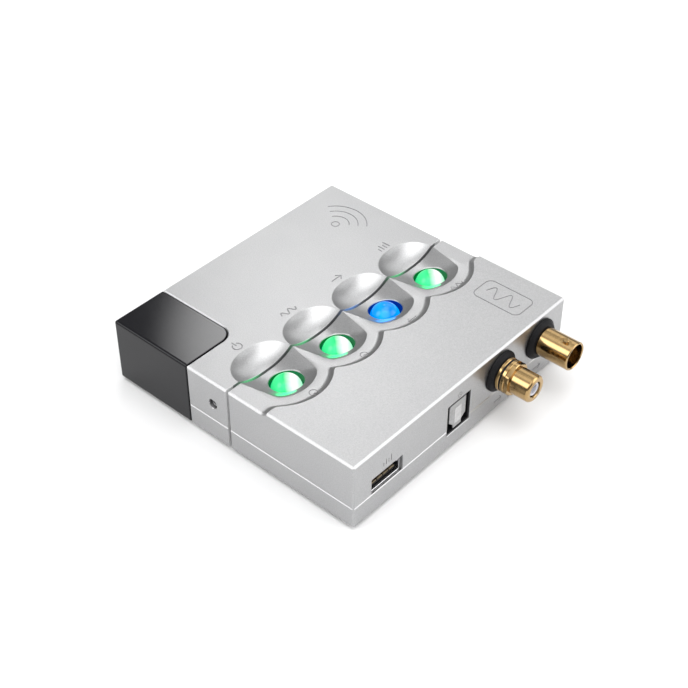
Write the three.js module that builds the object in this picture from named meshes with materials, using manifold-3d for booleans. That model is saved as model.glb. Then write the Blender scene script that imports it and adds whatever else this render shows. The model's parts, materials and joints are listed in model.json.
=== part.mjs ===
// A two-module desktop audio bridge: a network streamer docked to a digital output module.
// Millimetres, +Z up. X runs from the streamer's far face to the output module's connector
// panel, -Y is the long side with the visible lock screw, and z = 0 is the surface it stands on.
// Inside this file x is counted from the streamer's far face; the last group centres the object.

import * as THREE from 'three';
import { mergeVertices } from 'three/addons/utils/BufferGeometryUtils.js';
import Module from 'manifold-3d';

const wasm = await Module();
wasm.setup();

// ---------------------------------------------------------------- driving dimensions

const caseWidth = 100;
const caseLength = 97.9;
const moduleGap = 0.8;
const streamerLength = (caseLength - moduleGap) / 2;
const outputStart = streamerLength + moduleGap;
const dockPlane = streamerLength + moduleGap / 2;

const footStand = 1.0;
const stripTop = footStand + 22.8;
const outputTop = footStand + 24.0;
const seam = footStand + 7.7;
const seamGap = 0.3;
const edgeChamfer = 0.6;
const jointChamfer = 0.35;

const wall = 2.0;
const dockWall = 1.6;
const trayFloor = footStand + wall;
const coverGap = 0.3;
const halfWidth = caseWidth / 2;
const inner = halfWidth - wall;

const antennaLength = 32.0;
const antennaWidth = 20.2;
const antennaCorner = 5.0;

const scoopPitch = 22.4;
const scoopDepth = 2.8;
const scoopFloorPower = 2.5;
const scoopHalfWidth = 11.05;
const scoopTaper = 0.205;
const scoopEndRadius = 12.9;
const scoopEndCentre = 3.25;
const thumbReach = 9.2;
const scoopY = [-1.5, -0.5, 0.5, 1.5].map((step) => step * scoopPitch);

const ballRadius = 4.85;
const ballHoleRadius = 5.4;
const ballX = dockPlane + 8.4;
const ballZ = footStand + 18.0;
const buttonFit = 0.3;

const coveRadius = 3.5;
const coveRise = outputTop - stripTop;
const coveRun = Math.sqrt(coveRadius ** 2 - (coveRadius - coveRise) ** 2);

const socketAxisZ = footStand + 15.4;
const rcaY = 17.0;
const bncY = 37.3;
const connectorReach = 13.4;
const usbY = -35.5;
const opticalY = -2.7;
const usbWidth = 13.4;
const usbTop = footStand + 13.7;
const opticalWidth = 10.9;
const opticalBottom = footStand + 5.8;
const opticalTop = footStand + 17.4;

const boardThickness = 1.6;
const boardClearance = 1.6;
const streamerBoardTop = footStand + 8.2;
const outputBoardTop = footStand + 7.5;
const lockScrewX = 42.6;
const lockPinY = 43.5;
const lockZ = footStand + 14.0;
const lockPinRadius = 2.0;

// ---------------------------------------------------------------- finishes

const finish = (color, roughness, metalness) =>
  new THREE.MeshStandardMaterial({ color, roughness, metalness });
const aluminium = finish(0xd4d5d6, 0.42, 0.9);
const blackGloss = finish(0x2b2b30, 0.12, 0.0);
const blackPlastic = finish(0x1b1b1d, 0.5, 0.0);
const rubber = finish(0x151515, 0.9, 0.0);
const gold = finish(0xd2a64a, 0.18, 1.0);
const steel = finish(0xa9abae, 0.35, 1.0);
const greenBoard = finish(0x1d5a35, 0.55, 0.0);
const batteryWrap = finish(0x3a4a66, 0.5, 0.0);
const clearGreen = finish(0x35e07c, 0.1, 0.0);
const clearBlue = finish(0x1493ff, 0.1, 0.0);
const frosted = finish(0xdadde0, 0.4, 0.0);
const whitePlastic = finish(0xd8d8dc, 0.45, 0.0);

// ---------------------------------------------------------------- solid helpers

function solid(geometry) {
  const bare = geometry.clone();
  bare.deleteAttribute('normal');
  bare.deleteAttribute('uv');
  const merged = mergeVertices(bare, 1e-5);
  const vertProperties = new Float32Array(merged.attributes.position.array);
  const triVerts = new Uint32Array(merged.index.array);
  return new wasm.Manifold(new wasm.Mesh({ numProp: 3, vertProperties, triVerts }));
}

function geometryOf(body) {
  const data = body.getMesh();
  const geometry = new THREE.BufferGeometry();
  geometry.setAttribute('position', new THREE.BufferAttribute(new Float32Array(data.vertProperties), 3));
  geometry.setIndex(new THREE.BufferAttribute(new Uint32Array(data.triVerts), 1));
  geometry.computeVertexNormals();
  return geometry;
}

function box([x0, x1], [y0, y1], [z0, z1]) {
  const geometry = new THREE.BoxGeometry(x1 - x0, y1 - y0, z1 - z0);
  return solid(geometry.translate((x0 + x1) / 2, (y0 + y1) / 2, (z0 + z1) / 2));
}

function prism(shape, z0, z1, curveSegments = 8) {
  const geometry = new THREE.ExtrudeGeometry(shape, { depth: z1 - z0, bevelEnabled: false, curveSegments });
  return solid(geometry.translate(0, 0, z0));
}

// A turned solid from (radius, height) points; the axis is +Z, or +X when along is 'x', or +Y.
function turned(profile, [x, y, z], along = 'z', segments = 32) {
  const points = profile.map(([r, h]) => new THREE.Vector2(r, h));
  const geometry = new THREE.LatheGeometry(points, segments);
  if (along === 'z') geometry.rotateX(Math.PI / 2);
  if (along === 'x') geometry.rotateZ(-Math.PI / 2);
  return solid(geometry.translate(x, y, z));
}

const rod = (radius, z0, z1, [x, y], segments = 24) =>
  turned([[0, z0], [radius, z0], [radius, z1], [0, z1]], [x, y, 0], 'z', segments);
const rodX = (radius, x0, x1, [y, z], segments = 24) =>
  turned([[0, x0], [radius, x0], [radius, x1], [0, x1]], [0, y, z], 'x', segments);
const rodY = (radius, y0, y1, [x, z], segments = 24) =>
  turned([[0, y0], [radius, y0], [radius, y1], [0, y1]], [x, 0, z], 'y', segments);

function join(bodies) {
  return bodies.reduce((whole, body) => whole.add(body));
}

function cut(body, tools) {
  return tools.reduce((rest, tool) => rest.subtract(tool), body);
}

function rectangle(x0, x1, y0, y1, corner = 0) {
  const shape = new THREE.Shape();
  shape.moveTo(x0 + corner, y0);
  shape.lineTo(x1 - corner, y0);
  shape.lineTo(x1, y0 + corner);
  shape.lineTo(x1, y1 - corner);
  shape.lineTo(x1 - corner, y1);
  shape.lineTo(x0 + corner, y1);
  shape.lineTo(x0, y1 - corner);
  shape.lineTo(x0, y0 + corner);
  shape.closePath();
  return shape;
}

// A closed skin over rows of points: each row is a ring, and the first and last rows are capped.
function loft(rings) {
  const count = rings[0].length;
  const positions = rings.flat().flatMap((point) => [point.x, point.y, point.z]);
  const index = [];
  for (let row = 0; row + 1 < rings.length; row += 1) {
    for (let i = 0; i < count; i += 1) {
      const a = row * count + i;
      const b = row * count + ((i + 1) % count);
      index.push(a, b, b + count, a, b + count, a + count);
    }
  }
  const last = (rings.length - 1) * count;
  for (let i = 1; i + 1 < count; i += 1) {
    index.push(0, i + 1, i);
    index.push(last, last + i, last + i + 1);
  }
  const geometry = new THREE.BufferGeometry();
  geometry.setAttribute('position', new THREE.Float32BufferAttribute(positions, 3));
  geometry.setIndex(index);
  const body = solid(geometry);
  if (body.volume() > 0) return body;
  for (let i = 0; i < index.length; i += 3) [index[i], index[i + 1]] = [index[i + 1], index[i]];
  geometry.setIndex(index);
  return solid(geometry);
}

// The wedge that takes a 45 degree chamfer off an edge running through the given points.
// outward is the horizontal direction out of the edge, and rise is +1 on top, -1 underneath.
function chamferTool(path, outward, rise = 1, size = edgeChamfer) {
  const over = 0.5;
  const up = new THREE.Vector3(0, 0, rise);
  const corner = (point, out, lift) => point.clone().addScaledVector(outward, out).addScaledVector(up, lift);
  return loft(path.map((point) => [
    corner(point, over, -(size + over)),
    corner(point, over, over),
    corner(point, -(size + over), over),
  ]));
}

const frontward = new THREE.Vector3(0, -1, 0);
const backward = new THREE.Vector3(0, 1, 0);
const leftward = new THREE.Vector3(-1, 0, 0);
const rightward = new THREE.Vector3(1, 0, 0);

function level(x0, y0, x1, y1, z) {
  const over = 1;
  const start = new THREE.Vector3(x0, y0, z);
  const end = new THREE.Vector3(x1, y1, z);
  const along = end.clone().sub(start).normalize();
  return [start.addScaledVector(along, -over), end.addScaledVector(along, over)];
}

// ---------------------------------------------------------------- scoops and scallops

// Distance from the scoop's centre on the docking plane to its rim, in the direction given.
function outputRim(angle) {
  const [c, s] = [Math.abs(Math.cos(angle)), Math.abs(Math.sin(angle))];
  const side = scoopHalfWidth / (s + scoopTaper * c);
  const end = scoopEndCentre * c + Math.sqrt(scoopEndRadius ** 2 - (scoopEndCentre * s) ** 2);
  const sharpness = 36;
  return (side ** -sharpness + end ** -sharpness) ** (-1 / sharpness);
}

function thumbRim(angle) {
  const [c, s] = [Math.abs(Math.cos(angle)), Math.abs(Math.sin(angle))];
  const fullness = 2.2;
  return ((c / thumbReach) ** fullness + (s / scoopHalfWidth) ** fullness) ** (-1 / fullness);
}

// The tool that hollows one scoop: its floor falls from the rim to scoopDepth at the centre, and
// carries on a little past the rim so that the rim is one clean crossing with the top.
function scoopTool(rim, y) {
  const spokes = 36;
  const levels = [0.02, 0.4, 0.66, 0.86, 1.04];
  const over = 1;
  const ring = (share, height) => Array.from({ length: spokes }, (_, i) => {
    const angle = ((i + 0.5) / spokes) * Math.PI * 2;
    const reach = rim(angle) * share;
    return new THREE.Vector3(dockPlane + Math.cos(angle) * reach, y + Math.sin(angle) * reach, height);
  });
  const floor = (share) => stripTop - scoopDepth * (1 - share ** scoopFloorPower);
  const rings = levels.map((share) => ring(share, floor(share)));
  return loft([...rings, ring(levels[levels.length - 1], stripTop + over)]);
}

// How far from the docking plane the raised top begins: four arcs round the scoops, rounded
// where they meet, over a straight shoulder at each end.
function scallop(y) {
  const arcCentre = 5.8;
  const arcRadius = 15.9;
  const shoulder = 16.0;
  const softness = 0.55;
  const reaches = scoopY.map((centre) => {
    const across = arcRadius ** 2 - (y - centre) ** 2;
    return across > 0 ? arcCentre + Math.sqrt(across) : 0;
  });
  const blend = [...reaches, shoulder]
    .reduce((sum, reach) => sum + Math.exp((reach - shoulder) / softness), 0);
  return shoulder + softness * Math.log(blend);
}

// Points across the cove, from its toe on the low strip to its crisp upper edge, or a share past it.
function coveProfile(y, share = 1) {
  const steps = 4;
  const edge = dockPlane + scallop(y);
  return Array.from({ length: steps + 1 }, (_, i) => {
    const run = (coveRun * share * i) / steps;
    const lift = coveRadius - Math.sqrt(coveRadius ** 2 - run ** 2);
    return new THREE.Vector3(edge - coveRun + run, y, stripTop + lift);
  });
}

// The tool that lowers the strip beside the docking plane and leaves the scalloped cove.
function stripTool() {
  const over = 1;
  const rows = 54;
  const reach = halfWidth + over;
  return loft(Array.from({ length: rows + 1 }, (_, row) => {
    const y = -reach + (2 * reach * row) / rows;
    const cove = coveProfile(y, 1.04);
    return [
      new THREE.Vector3(streamerLength - over, y, outputTop + over),
      new THREE.Vector3(streamerLength - over, y, stripTop),
      ...cove,
      new THREE.Vector3(cove[cove.length - 1].x, y, outputTop + over),
    ];
  }));
}

function outputTopEdge(y) {
  return [
    new THREE.Vector3(outputStart - 1, y, stripTop),
    ...coveProfile(y),
    new THREE.Vector3(caseLength + 1, y, outputTop),
  ];
}

// ---------------------------------------------------------------- case blocks

// The bar that takes the chamfer off an upright corner of the case.
function cornerCut(x, y, size = edgeChamfer) {
  const side = size * Math.SQRT2;
  const bar = new THREE.BoxGeometry(side, side, 4 * outputTop);
  return solid(bar.rotateZ(Math.PI / 4).translate(x, y, 0));
}

function streamerBlock() {
  const block = prism(rectangle(0, streamerLength, -halfWidth, halfWidth), footStand, stripTop);
  const edges = [[stripTop, 1], [footStand, -1]].flatMap(([z, rise]) => [
    chamferTool(level(0, -halfWidth, streamerLength, -halfWidth, z), frontward, rise),
    chamferTool(level(0, halfWidth, streamerLength, halfWidth, z), backward, rise),
    chamferTool(level(0, -halfWidth, 0, halfWidth, z), leftward, rise),
  ]);
  return cut(block, [
    ...edges,
    cornerCut(0, -halfWidth),
    cornerCut(0, halfWidth),
    cornerCut(streamerLength, -halfWidth, jointChamfer),
    cornerCut(streamerLength, halfWidth, jointChamfer),
  ]);
}

function outputBlock() {
  const block = prism(rectangle(outputStart, caseLength, -halfWidth, halfWidth), footStand, outputTop);
  return cut(block, [
    stripTool(),
    chamferTool(outputTopEdge(-halfWidth), frontward),
    chamferTool(outputTopEdge(halfWidth), backward),
    chamferTool(level(caseLength, -halfWidth, caseLength, halfWidth, outputTop), rightward),
    chamferTool(level(outputStart, -halfWidth, caseLength, -halfWidth, footStand), frontward, -1),
    chamferTool(level(outputStart, halfWidth, caseLength, halfWidth, footStand), backward, -1),
    chamferTool(level(caseLength, -halfWidth, caseLength, halfWidth, footStand), rightward, -1),
    cornerCut(caseLength, -halfWidth),
    cornerCut(caseLength, halfWidth),
    cornerCut(outputStart, -halfWidth, jointChamfer),
    cornerCut(outputStart, halfWidth, jointChamfer),
  ]);
}

const everywhere = [-10, caseLength + 10];
const acrossAll = [-halfWidth - 10, halfWidth + 10];
const aboveSeam = box(everywhere, acrossAll, [seam + seamGap / 2, 60]);
const belowSeam = box(everywhere, acrossAll, [-10, seam - seamGap / 2]);

function antennaShape(grow) {
  const shape = new THREE.Shape();
  const x1 = antennaLength + grow;
  const y1 = -halfWidth + antennaWidth + grow;
  const corner = antennaCorner + grow;
  const past = 3;
  shape.moveTo(-past, -halfWidth - past);
  shape.lineTo(x1, -halfWidth - past);
  shape.lineTo(x1, y1 - corner);
  shape.absarc(x1 - corner, y1 - corner, corner, 0, Math.PI / 2, false);
  shape.lineTo(-past, y1);
  shape.closePath();
  return shape;
}

// The streamer's inside, which goes round the antenna corner.
function streamerHollow(z0, z1, x1 = streamerLength - wall) {
  const shape = new THREE.Shape();
  const notchX = antennaLength + wall;
  const notchY = -halfWidth + antennaWidth + wall;
  shape.moveTo(notchX, -inner);
  shape.lineTo(x1, -inner);
  shape.lineTo(x1, inner);
  shape.lineTo(wall, inner);
  shape.lineTo(wall, notchY);
  shape.lineTo(notchX, notchY);
  shape.closePath();
  return prism(shape, z0, z1);
}

// ---------------------------------------------------------------- fastening

const bossRadius = 3.0;
const screwRadius = 1.2;
const screwHoleRadius = 1.5;
const screwHeadRadius = 2.2;
const headRecessRadius = 2.6;
const headRecessTop = footStand + 1.9;
const screwTip = seam + 5.5;
const streamerScrews = [[5.5, 44.5], [43, 33], [43, -33], [5.5, -24.3]];
const outputScrews = [[60, 44.5], [82, 44.5], [60, -44.5], [82, -44.5]];

const bosses = (places, ceiling) =>
  places.map((spot) => rod(bossRadius, seam + seamGap / 2, ceiling, spot, 12));
const pilots = (places) =>
  places.map((spot) => rod(screwHoleRadius, seam - 1, screwTip + 0.5, spot, 12));
const coverPosts = (places) =>
  places.map((spot) => rod(bossRadius, trayFloor - 0.5, seam - seamGap / 2, spot, 12));
const coverHoles = (places) => places.flatMap((spot) => [
  rod(screwHoleRadius, -1, seam + 1, spot, 12),
  rod(headRecessRadius, -1, headRecessTop, spot, 16),
]);

function coverScrew(spot) {
  const headTop = headRecessTop - 0.3;
  const head = turned(
    [[0, footStand + 0.2], [screwHeadRadius, footStand + 0.2], [screwHeadRadius, headTop],
      [screwRadius, headTop], [screwRadius, screwTip], [0, screwTip]],
    [spot[0], spot[1], 0], 'z', 12,
  );
  const slotHalf = 0.3;
  const slotReach = 1.4;
  const slotTop = footStand + 0.8;
  const across = (x, y) => box([spot[0] - x, spot[0] + x], [spot[1] - y, spot[1] + y], [-1, slotTop]);
  return cut(head, [across(slotReach, slotHalf), across(slotHalf, slotReach)]);
}

const footRadius = 4.5;
const footPlaces = { streamer: [[12, 36], [37, -43]], output: [[86, 36], [86, -36]] };
const footRecessTop = footStand + 0.8;
const footRecess = (spot) => rod(footRadius + 0.3, -1, footRecessTop, spot, 20);

function foot(spot) {
  const top = footRecessTop - 0.3;
  const rounding = 0.4;
  return turned(
    [[0, 0], [footRadius - rounding, 0], [footRadius, rounding], [footRadius, top], [0, top]],
    [spot[0], spot[1], 0], 'z', 20,
  );
}

const boardRests = { streamer: [[20, 40], [30, -23.5], [5, 8]], output: [[70, 40], [70, -40], [60, 0]] };
const restPosts = (places, boardTop) =>
  places.map((spot) => rod(1.8, trayFloor - 0.5, boardTop - boardThickness - 0.3, spot, 10));

// ---------------------------------------------------------------- streamer module

const farPorts = {
  ethernet: { y: 28, width: 16, bottom: streamerBoardTop + 0.3, height: 11.6, depth: 15.5 },
  charge: { y: 14.2, width: 9, bottom: streamerBoardTop + 0.3, height: 3.3, depth: 7.6 },
  cardNear: { y: 1.7, width: 14, bottom: streamerBoardTop + 0.3, height: 2.2, depth: 15.4 },
  cardFar: { y: -13.5, width: 14, bottom: streamerBoardTop + 0.3, height: 2.2, depth: 15.4 },
};
const cardWidth = 11;
const cardThickness = 0.8;
const cardBottom = streamerBoardTop + 1.0;
const setupButtonY = 38.6;
const setupButtonZ = streamerBoardTop + 4.2;
const setupButtonRadius = 1.5;

const portWindow = (port, slack) => box(
  [-1, wall + 0.5],
  [port.y - port.width / 2 - slack, port.y + port.width / 2 + slack],
  [port.bottom - slack, port.bottom + port.height + slack],
);
const cardWindow = (port) => box(
  [-1, wall + 0.5],
  [port.y - cardWidth / 2 - 0.5, port.y + cardWidth / 2 + 0.5],
  [cardBottom - 0.5, cardBottom + cardThickness + 0.5],
);

const dockWidth = 17;
const dockHeight = 6;
const dockZ = footStand + 12.5;
const dockSpan = (grow) => [
  [-dockWidth / 2 - grow, dockWidth / 2 + grow],
  [dockZ - dockHeight / 2 - grow, dockZ + dockHeight / 2 + grow],
];

function streamerUpperShell() {
  const ceiling = stripTop - wall;
  const thickCeiling = stripTop - scoopDepth - 1.6;
  const thinEnd = dockPlane - thumbReach - 1.2;
  let shell = streamerBlock().intersect(aboveSeam);
  shell = cut(shell, [
    prism(antennaShape(coverGap / 2), -1, 60),
    streamerHollow(0, ceiling, thinEnd),
    streamerHollow(0, thickCeiling),
  ]);
  const lockBlocks = [-1, 1].map((side) => box(
    [thinEnd, streamerLength - 1],
    [Math.min(side * 38.5, side * (inner + 0.5)), Math.max(side * 38.5, side * (inner + 0.5))],
    [lockZ - 4, thickCeiling + 0.5],
  ));
  shell = join([shell, ...bosses(streamerScrews, ceiling + 0.5), ...lockBlocks]);
  const lockBores = [-1, 1].flatMap((side) => [
    rodX(lockPinRadius + 0.3, thinEnd + 1, streamerLength + 1, [side * lockPinY, lockZ]),
    rodY(1.6, Math.min(side * (lockPinY + 1), side * 52), Math.max(side * (lockPinY + 1), side * 52),
      [lockScrewX, lockZ], 20),
  ]);
  const [dockY, dockHeights] = dockSpan(0.3);
  return cut(shell, [
    ...scoopY.map((y) => scoopTool(thumbRim, y)),
    ...pilots(streamerScrews),
    ...lockBores,
    portWindow(farPorts.ethernet, 0.3),
    portWindow(farPorts.charge, 0.3),
    cardWindow(farPorts.cardNear),
    cardWindow(farPorts.cardFar),
    rodX(setupButtonRadius + 0.3, -1, wall + 1, [setupButtonY, setupButtonZ]),
    box([streamerLength - wall - 1, streamerLength + 1], dockY, dockHeights),
    box([antennaLength - 6, antennaLength - 1],
      [-halfWidth + antennaWidth - 1, -halfWidth + antennaWidth + wall + 1],
      [streamerBoardTop + 3, streamerBoardTop + 8]),
  ]);
}

function streamerBottomCover() {
  const tray = cut(streamerBlock().intersect(belowSeam), [
    prism(antennaShape(coverGap / 2), -1, 60),
    streamerHollow(trayFloor, 60),
  ]);
  const posts = [...coverPosts(streamerScrews), ...restPosts(boardRests.streamer, streamerBoardTop)];
  return cut(join([tray, ...posts]), [...coverHoles(streamerScrews), ...footPlaces.streamer.map(footRecess)]);
}

const antennaBoardBottom = streamerBoardTop + 4;

// The cover is a hollow corner cap, open inwards through its +Y wall for the antenna lead.
function antennaCover() {
  const skin = 1.6;
  const cover = streamerBlock().intersect(prism(antennaShape(-coverGap / 2), -1, 60));
  const hollow = box(
    [skin, antennaLength - 2 * skin],
    [-halfWidth + skin, -halfWidth + antennaWidth - 2 * skin],
    [footStand + skin, stripTop - skin],
  );
  const doorway = box(
    [antennaLength - 12, antennaLength - 7],
    [-halfWidth + antennaWidth - 2 * skin - 1, -halfWidth + antennaWidth + 1],
    [streamerBoardTop + 3, streamerBoardTop + 8],
  );
  const posts = [[7, -45.5], [7, -36], [26, -45.5], [26, -36]]
    .map((spot) => rod(1.4, footStand + 1, antennaBoardBottom - 0.3, spot, 12));
  return join([cut(cover, [hollow, doorway]), ...posts]);
}

function antennaBoard() {
  const board = box([4, 28.2], [-47, -34.4], [antennaBoardBottom, antennaBoardBottom + 0.8]);
  const chip = (x) => box([x, x + 7], [-45.5, -43.5], [antennaBoardBottom + 0.5, antennaBoardBottom + 2.2]);
  return join([board, chip(6), chip(18)]);
}

function streamerBoard() {
  const board = box([wall + 0.6, streamerLength - wall - 0.6], [-26.6, inner - 0.6],
    [streamerBoardTop - boardThickness, streamerBoardTop]);
  const clear = streamerScrews.map((spot) => rod(bossRadius + boardClearance, 0, 60, spot, 12));
  return cut(board, clear);
}

function batteryPack() {
  const shape = rectangle(9, 39, -20, 34, 1.5);
  return prism(shape, trayFloor + 0.3, trayFloor + 3.9);
}

function portShell(port, innerWidth, innerHeight, depth, lift) {
  const outer = box([0.2, port.depth + 0.2], [port.y - port.width / 2, port.y + port.width / 2],
    [port.bottom, port.bottom + port.height]);
  const opening = box([-1, depth], [port.y - innerWidth / 2, port.y + innerWidth / 2],
    [port.bottom + lift, port.bottom + lift + innerHeight]);
  return cut(outer, [opening]);
}

function ethernetJack() {
  const port = farPorts.ethernet;
  const keyway = box([-1, 9], [port.y - 3, port.y + 3], [port.bottom + 8, port.bottom + 10]);
  return cut(portShell(port, 11.8, 7.2, 12.5, 1.5), [keyway]);
}

function chargePort() {
  return portShell(farPorts.charge, 7.6, 2.0, 5.5, 0.65);
}

function cardSocket(port) {
  const body = box([wall + 0.4, port.depth + 1.6], [port.y - port.width / 2, port.y + port.width / 2],
    [port.bottom, port.bottom + port.height]);
  const slot = box([0, port.depth + 0.8], [port.y - cardWidth / 2 - 0.4, port.y + cardWidth / 2 + 0.4],
    [cardBottom - 0.35, cardBottom + cardThickness + 0.35]);
  return cut(body, [slot]);
}

function setupButton() {
  return turned(
    [[0, 0.1], [setupButtonRadius - 0.2, 0.1], [setupButtonRadius, 0.3], [setupButtonRadius, wall + 0.4],
      [setupButtonRadius + 0.8, wall + 0.4], [setupButtonRadius + 0.8, wall + 1.2], [0, wall + 1.2]],
    [0, setupButtonY, setupButtonZ], 'x', 24,
  );
}

function setupSwitch() {
  const post = box([4.9, 8.4], [setupButtonY - 1.7, setupButtonY + 1.7],
    [streamerBoardTop + 0.3, setupButtonZ + 2]);
  return join([post, rodX(0.9, 4.1, 5, [setupButtonY, setupButtonZ], 16)]);
}

function wirelessModule() {
  const lid = prism(rectangle(20, 40, -8, 14, 0.3), streamerBoardTop + 0.3, streamerBoardTop + 2.9);
  return cut(lid, [box([20.4, 39.6], [-7.6, 13.6], [0, streamerBoardTop + 2.5])]);
}

function dockSocket() {
  const [dockY, dockHeights] = dockSpan(0);
  const body = box([streamerLength - 8, streamerLength - 0.1], dockY, dockHeights);
  const slot = box([streamerLength - 6, streamerLength + 1], [-7, 7], [dockZ - 1.4, dockZ + 1.4]);
  return cut(body, [slot]);
}

function lockScrew(side) {
  const length = 3.7;
  const face = halfWidth - 1.0;
  const body = turned(
    [[0, 0], [1.0, 0], [1.3, 0.3], [1.3, length], [0, length]],
    [0, 0, 0], 'y', 16,
  );
  const key = new THREE.CylinderGeometry(0.85, 0.85, 2, 6).translate(0, length, 0);
  const screw = cut(body, [solid(key)]);
  const turnedOut = side > 0 ? screw : screw.rotate([180, 0, 0]);
  return turnedOut.translate([lockScrewX, side * (face - length), lockZ]);
}

// ---------------------------------------------------------------- output module

const opticalWindow = () => box([caseLength - wall - 1, caseLength + 1],
  [opticalY - opticalWidth / 2, opticalY + opticalWidth / 2], [opticalBottom, opticalTop]);

const usbWindow = () => box([caseLength - wall - 1, caseLength + 1],
  [usbY - usbWidth / 2, usbY + usbWidth / 2], [seam - seamGap / 2 - 0.1, usbTop]);

const socketHoleRadius = 4.9;
const socketHole = (y) => rodX(socketHoleRadius, caseLength - wall - 1, caseLength + 1, [y, socketAxisZ]);

function outputHollow(z0, z1, x0 = outputStart + dockWall) {
  return prism(rectangle(x0, caseLength - wall, -inner, inner), z0, z1);
}

function outputUpperShell() {
  const lowCeiling = stripTop - scoopDepth - 1.6;
  const highCeiling = outputTop - wall;
  const highStart = dockPlane + 23.5;
  let shell = cut(outputBlock().intersect(aboveSeam), [
    outputHollow(0, lowCeiling),
    outputHollow(0, highCeiling, highStart),
  ]);
  shell = join([shell, ...bosses(outputScrews, highCeiling + 0.5)]);
  const [dockY, dockHeights] = dockSpan(0.3);
  return cut(shell, [
    ...scoopY.map((y) => scoopTool(outputRim, y)),
    ...scoopY.map((y) => rod(ballHoleRadius, 0, 60, [ballX, y], 28)),
    ...pilots(outputScrews),
    opticalWindow(),
    usbWindow(),
    socketHole(rcaY),
    socketHole(bncY),
    box([outputStart - 1, outputStart + wall + 1], dockY, dockHeights),
    ...[-1, 1].map((side) => rodX(lockPinRadius + 0.3, outputStart - 1, outputStart + wall + 1,
      [side * lockPinY, lockZ])),
  ]);
}

function outputBottomCover() {
  const tray = cut(outputBlock().intersect(belowSeam), [outputHollow(trayFloor, 60)]);
  const posts = [...coverPosts(outputScrews), ...restPosts(boardRests.output, outputBoardTop)];
  return cut(join([tray, ...posts]), [
    ...coverHoles(outputScrews), ...footPlaces.output.map(footRecess), opticalWindow(),
  ]);
}

function outputBoard() {
  const board = box([outputStart + wall + 0.6, caseLength - wall - 0.6], [-inner + 0.6, inner - 0.6],
    [outputBoardTop - boardThickness, outputBoardTop]);
  const opticalNotch = box([82, 100], [opticalY - 6.4, opticalY + 6.4], [0, 60]);
  const clear = outputScrews.map((spot) => rod(bossRadius + boardClearance, 0, 60, spot, 12));
  return cut(board, [opticalNotch, ...clear]);
}

// One translucent ball, a shade smaller than the round hole that it stands in.
function ballButton(y) {
  const geometry = new THREE.SphereGeometry(ballRadius, 20, 11);
  return solid(geometry.rotateX(Math.PI / 2).translate(ballX, y, ballZ));
}

// The clear cup under a ball, which guides it, lights it and presses the switch below.
function buttonCup(y) {
  const cupRadius = 5.9;
  const cupTop = ballZ - 0.2;
  const seat = ballRadius + buttonFit;
  const steps = 4;
  const lowest = -Math.PI / 2;
  const rimAngle = Math.asin((cupTop - ballZ) / seat);
  const arc = Array.from({ length: steps + 1 }, (_, i) => {
    const angle = rimAngle + ((lowest - rimAngle) * i) / steps;
    return [i === steps ? 0 : seat * Math.cos(angle), ballZ + seat * Math.sin(angle)];
  });
  const base = outputBoardTop + 4.9;
  return turned(
    [[0, base], [2.6, base], [2.6, base + 0.8], [cupRadius, cupTop - 2.4], [cupRadius, cupTop], ...arc],
    [ballX, y, 0], 'z', 20,
  );
}

function tactSwitch(y) {
  const half = 3;
  const base = box([ballX - half, ballX + half], [y - half, y + half],
    [outputBoardTop + 0.3, outputBoardTop + 3.6]);
  return join([base, rod(1.7, outputBoardTop + 3, outputBoardTop + 4.2, [ballX, y], 12)]);
}

const usbInnerWidth = 12.4;
const usbInnerHeight = 4.9;
const usbBottom = outputBoardTop + 0.3;
const usbSkin = 0.35;
const usbRecess = 0.9;
const usbDepth = 13.3;

function usbShell() {
  const front = caseLength - usbRecess;
  const outer = box([front - usbDepth, front],
    [usbY - usbInnerWidth / 2 - usbSkin, usbY + usbInnerWidth / 2 + usbSkin],
    [usbBottom, usbBottom + usbInnerHeight + 2 * usbSkin]);
  const opening = box([front - usbDepth + 1, front + 1], [usbY - usbInnerWidth / 2, usbY + usbInnerWidth / 2],
    [usbBottom + usbSkin, usbBottom + usbSkin + usbInnerHeight]);
  return cut(outer, [opening]);
}

function usbTongue() {
  const front = caseLength - usbRecess - 0.8;
  const low = usbBottom + usbSkin;
  const tongue = box([front - 9, front], [usbY - 5.6, usbY + 5.6], [low + 0.4, low + 1.7]);
  const root = box([front - usbDepth + 2.1, front - 8.8],
    [usbY - usbInnerWidth / 2 + 0.3, usbY + usbInnerWidth / 2 - 0.3],
    [low + 0.3, low + usbInnerHeight - 0.3]);
  return join([tongue, root]);
}

const opticalDepth = 15;
const opticalRecess = 0.4;
const opticalClear = 0.25;
const bezel = 0.75;
const doorHalf = opticalWidth / 2 - opticalClear - bezel - 0.3;
const doorTop = opticalTop - opticalClear - bezel - 0.3;
const doorBottom = opticalBottom + opticalClear + bezel + 0.3;
const doorThickness = 0.9;
const doorFace = caseLength - 0.3 - opticalRecess;

function opticalHousing() {
  const front = caseLength - 0.3;
  const outer = box([front - opticalDepth, front],
    [opticalY - opticalWidth / 2 + opticalClear, opticalY + opticalWidth / 2 - opticalClear],
    [opticalBottom + opticalClear, opticalTop - opticalClear]);
  const chamber = box([front - opticalDepth + 3, front + 1],
    [opticalY - doorHalf - 0.3, opticalY + doorHalf + 0.3],
    [doorBottom - 0.3, doorTop + 0.3]);
  const lensAxis = [opticalY, (doorTop + doorBottom) / 2];
  const lens = rodX(1.2, front - opticalDepth + 2, front - opticalDepth + 3.8, lensAxis, 16);
  return join([cut(outer, [chamber]), lens]);
}

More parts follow.
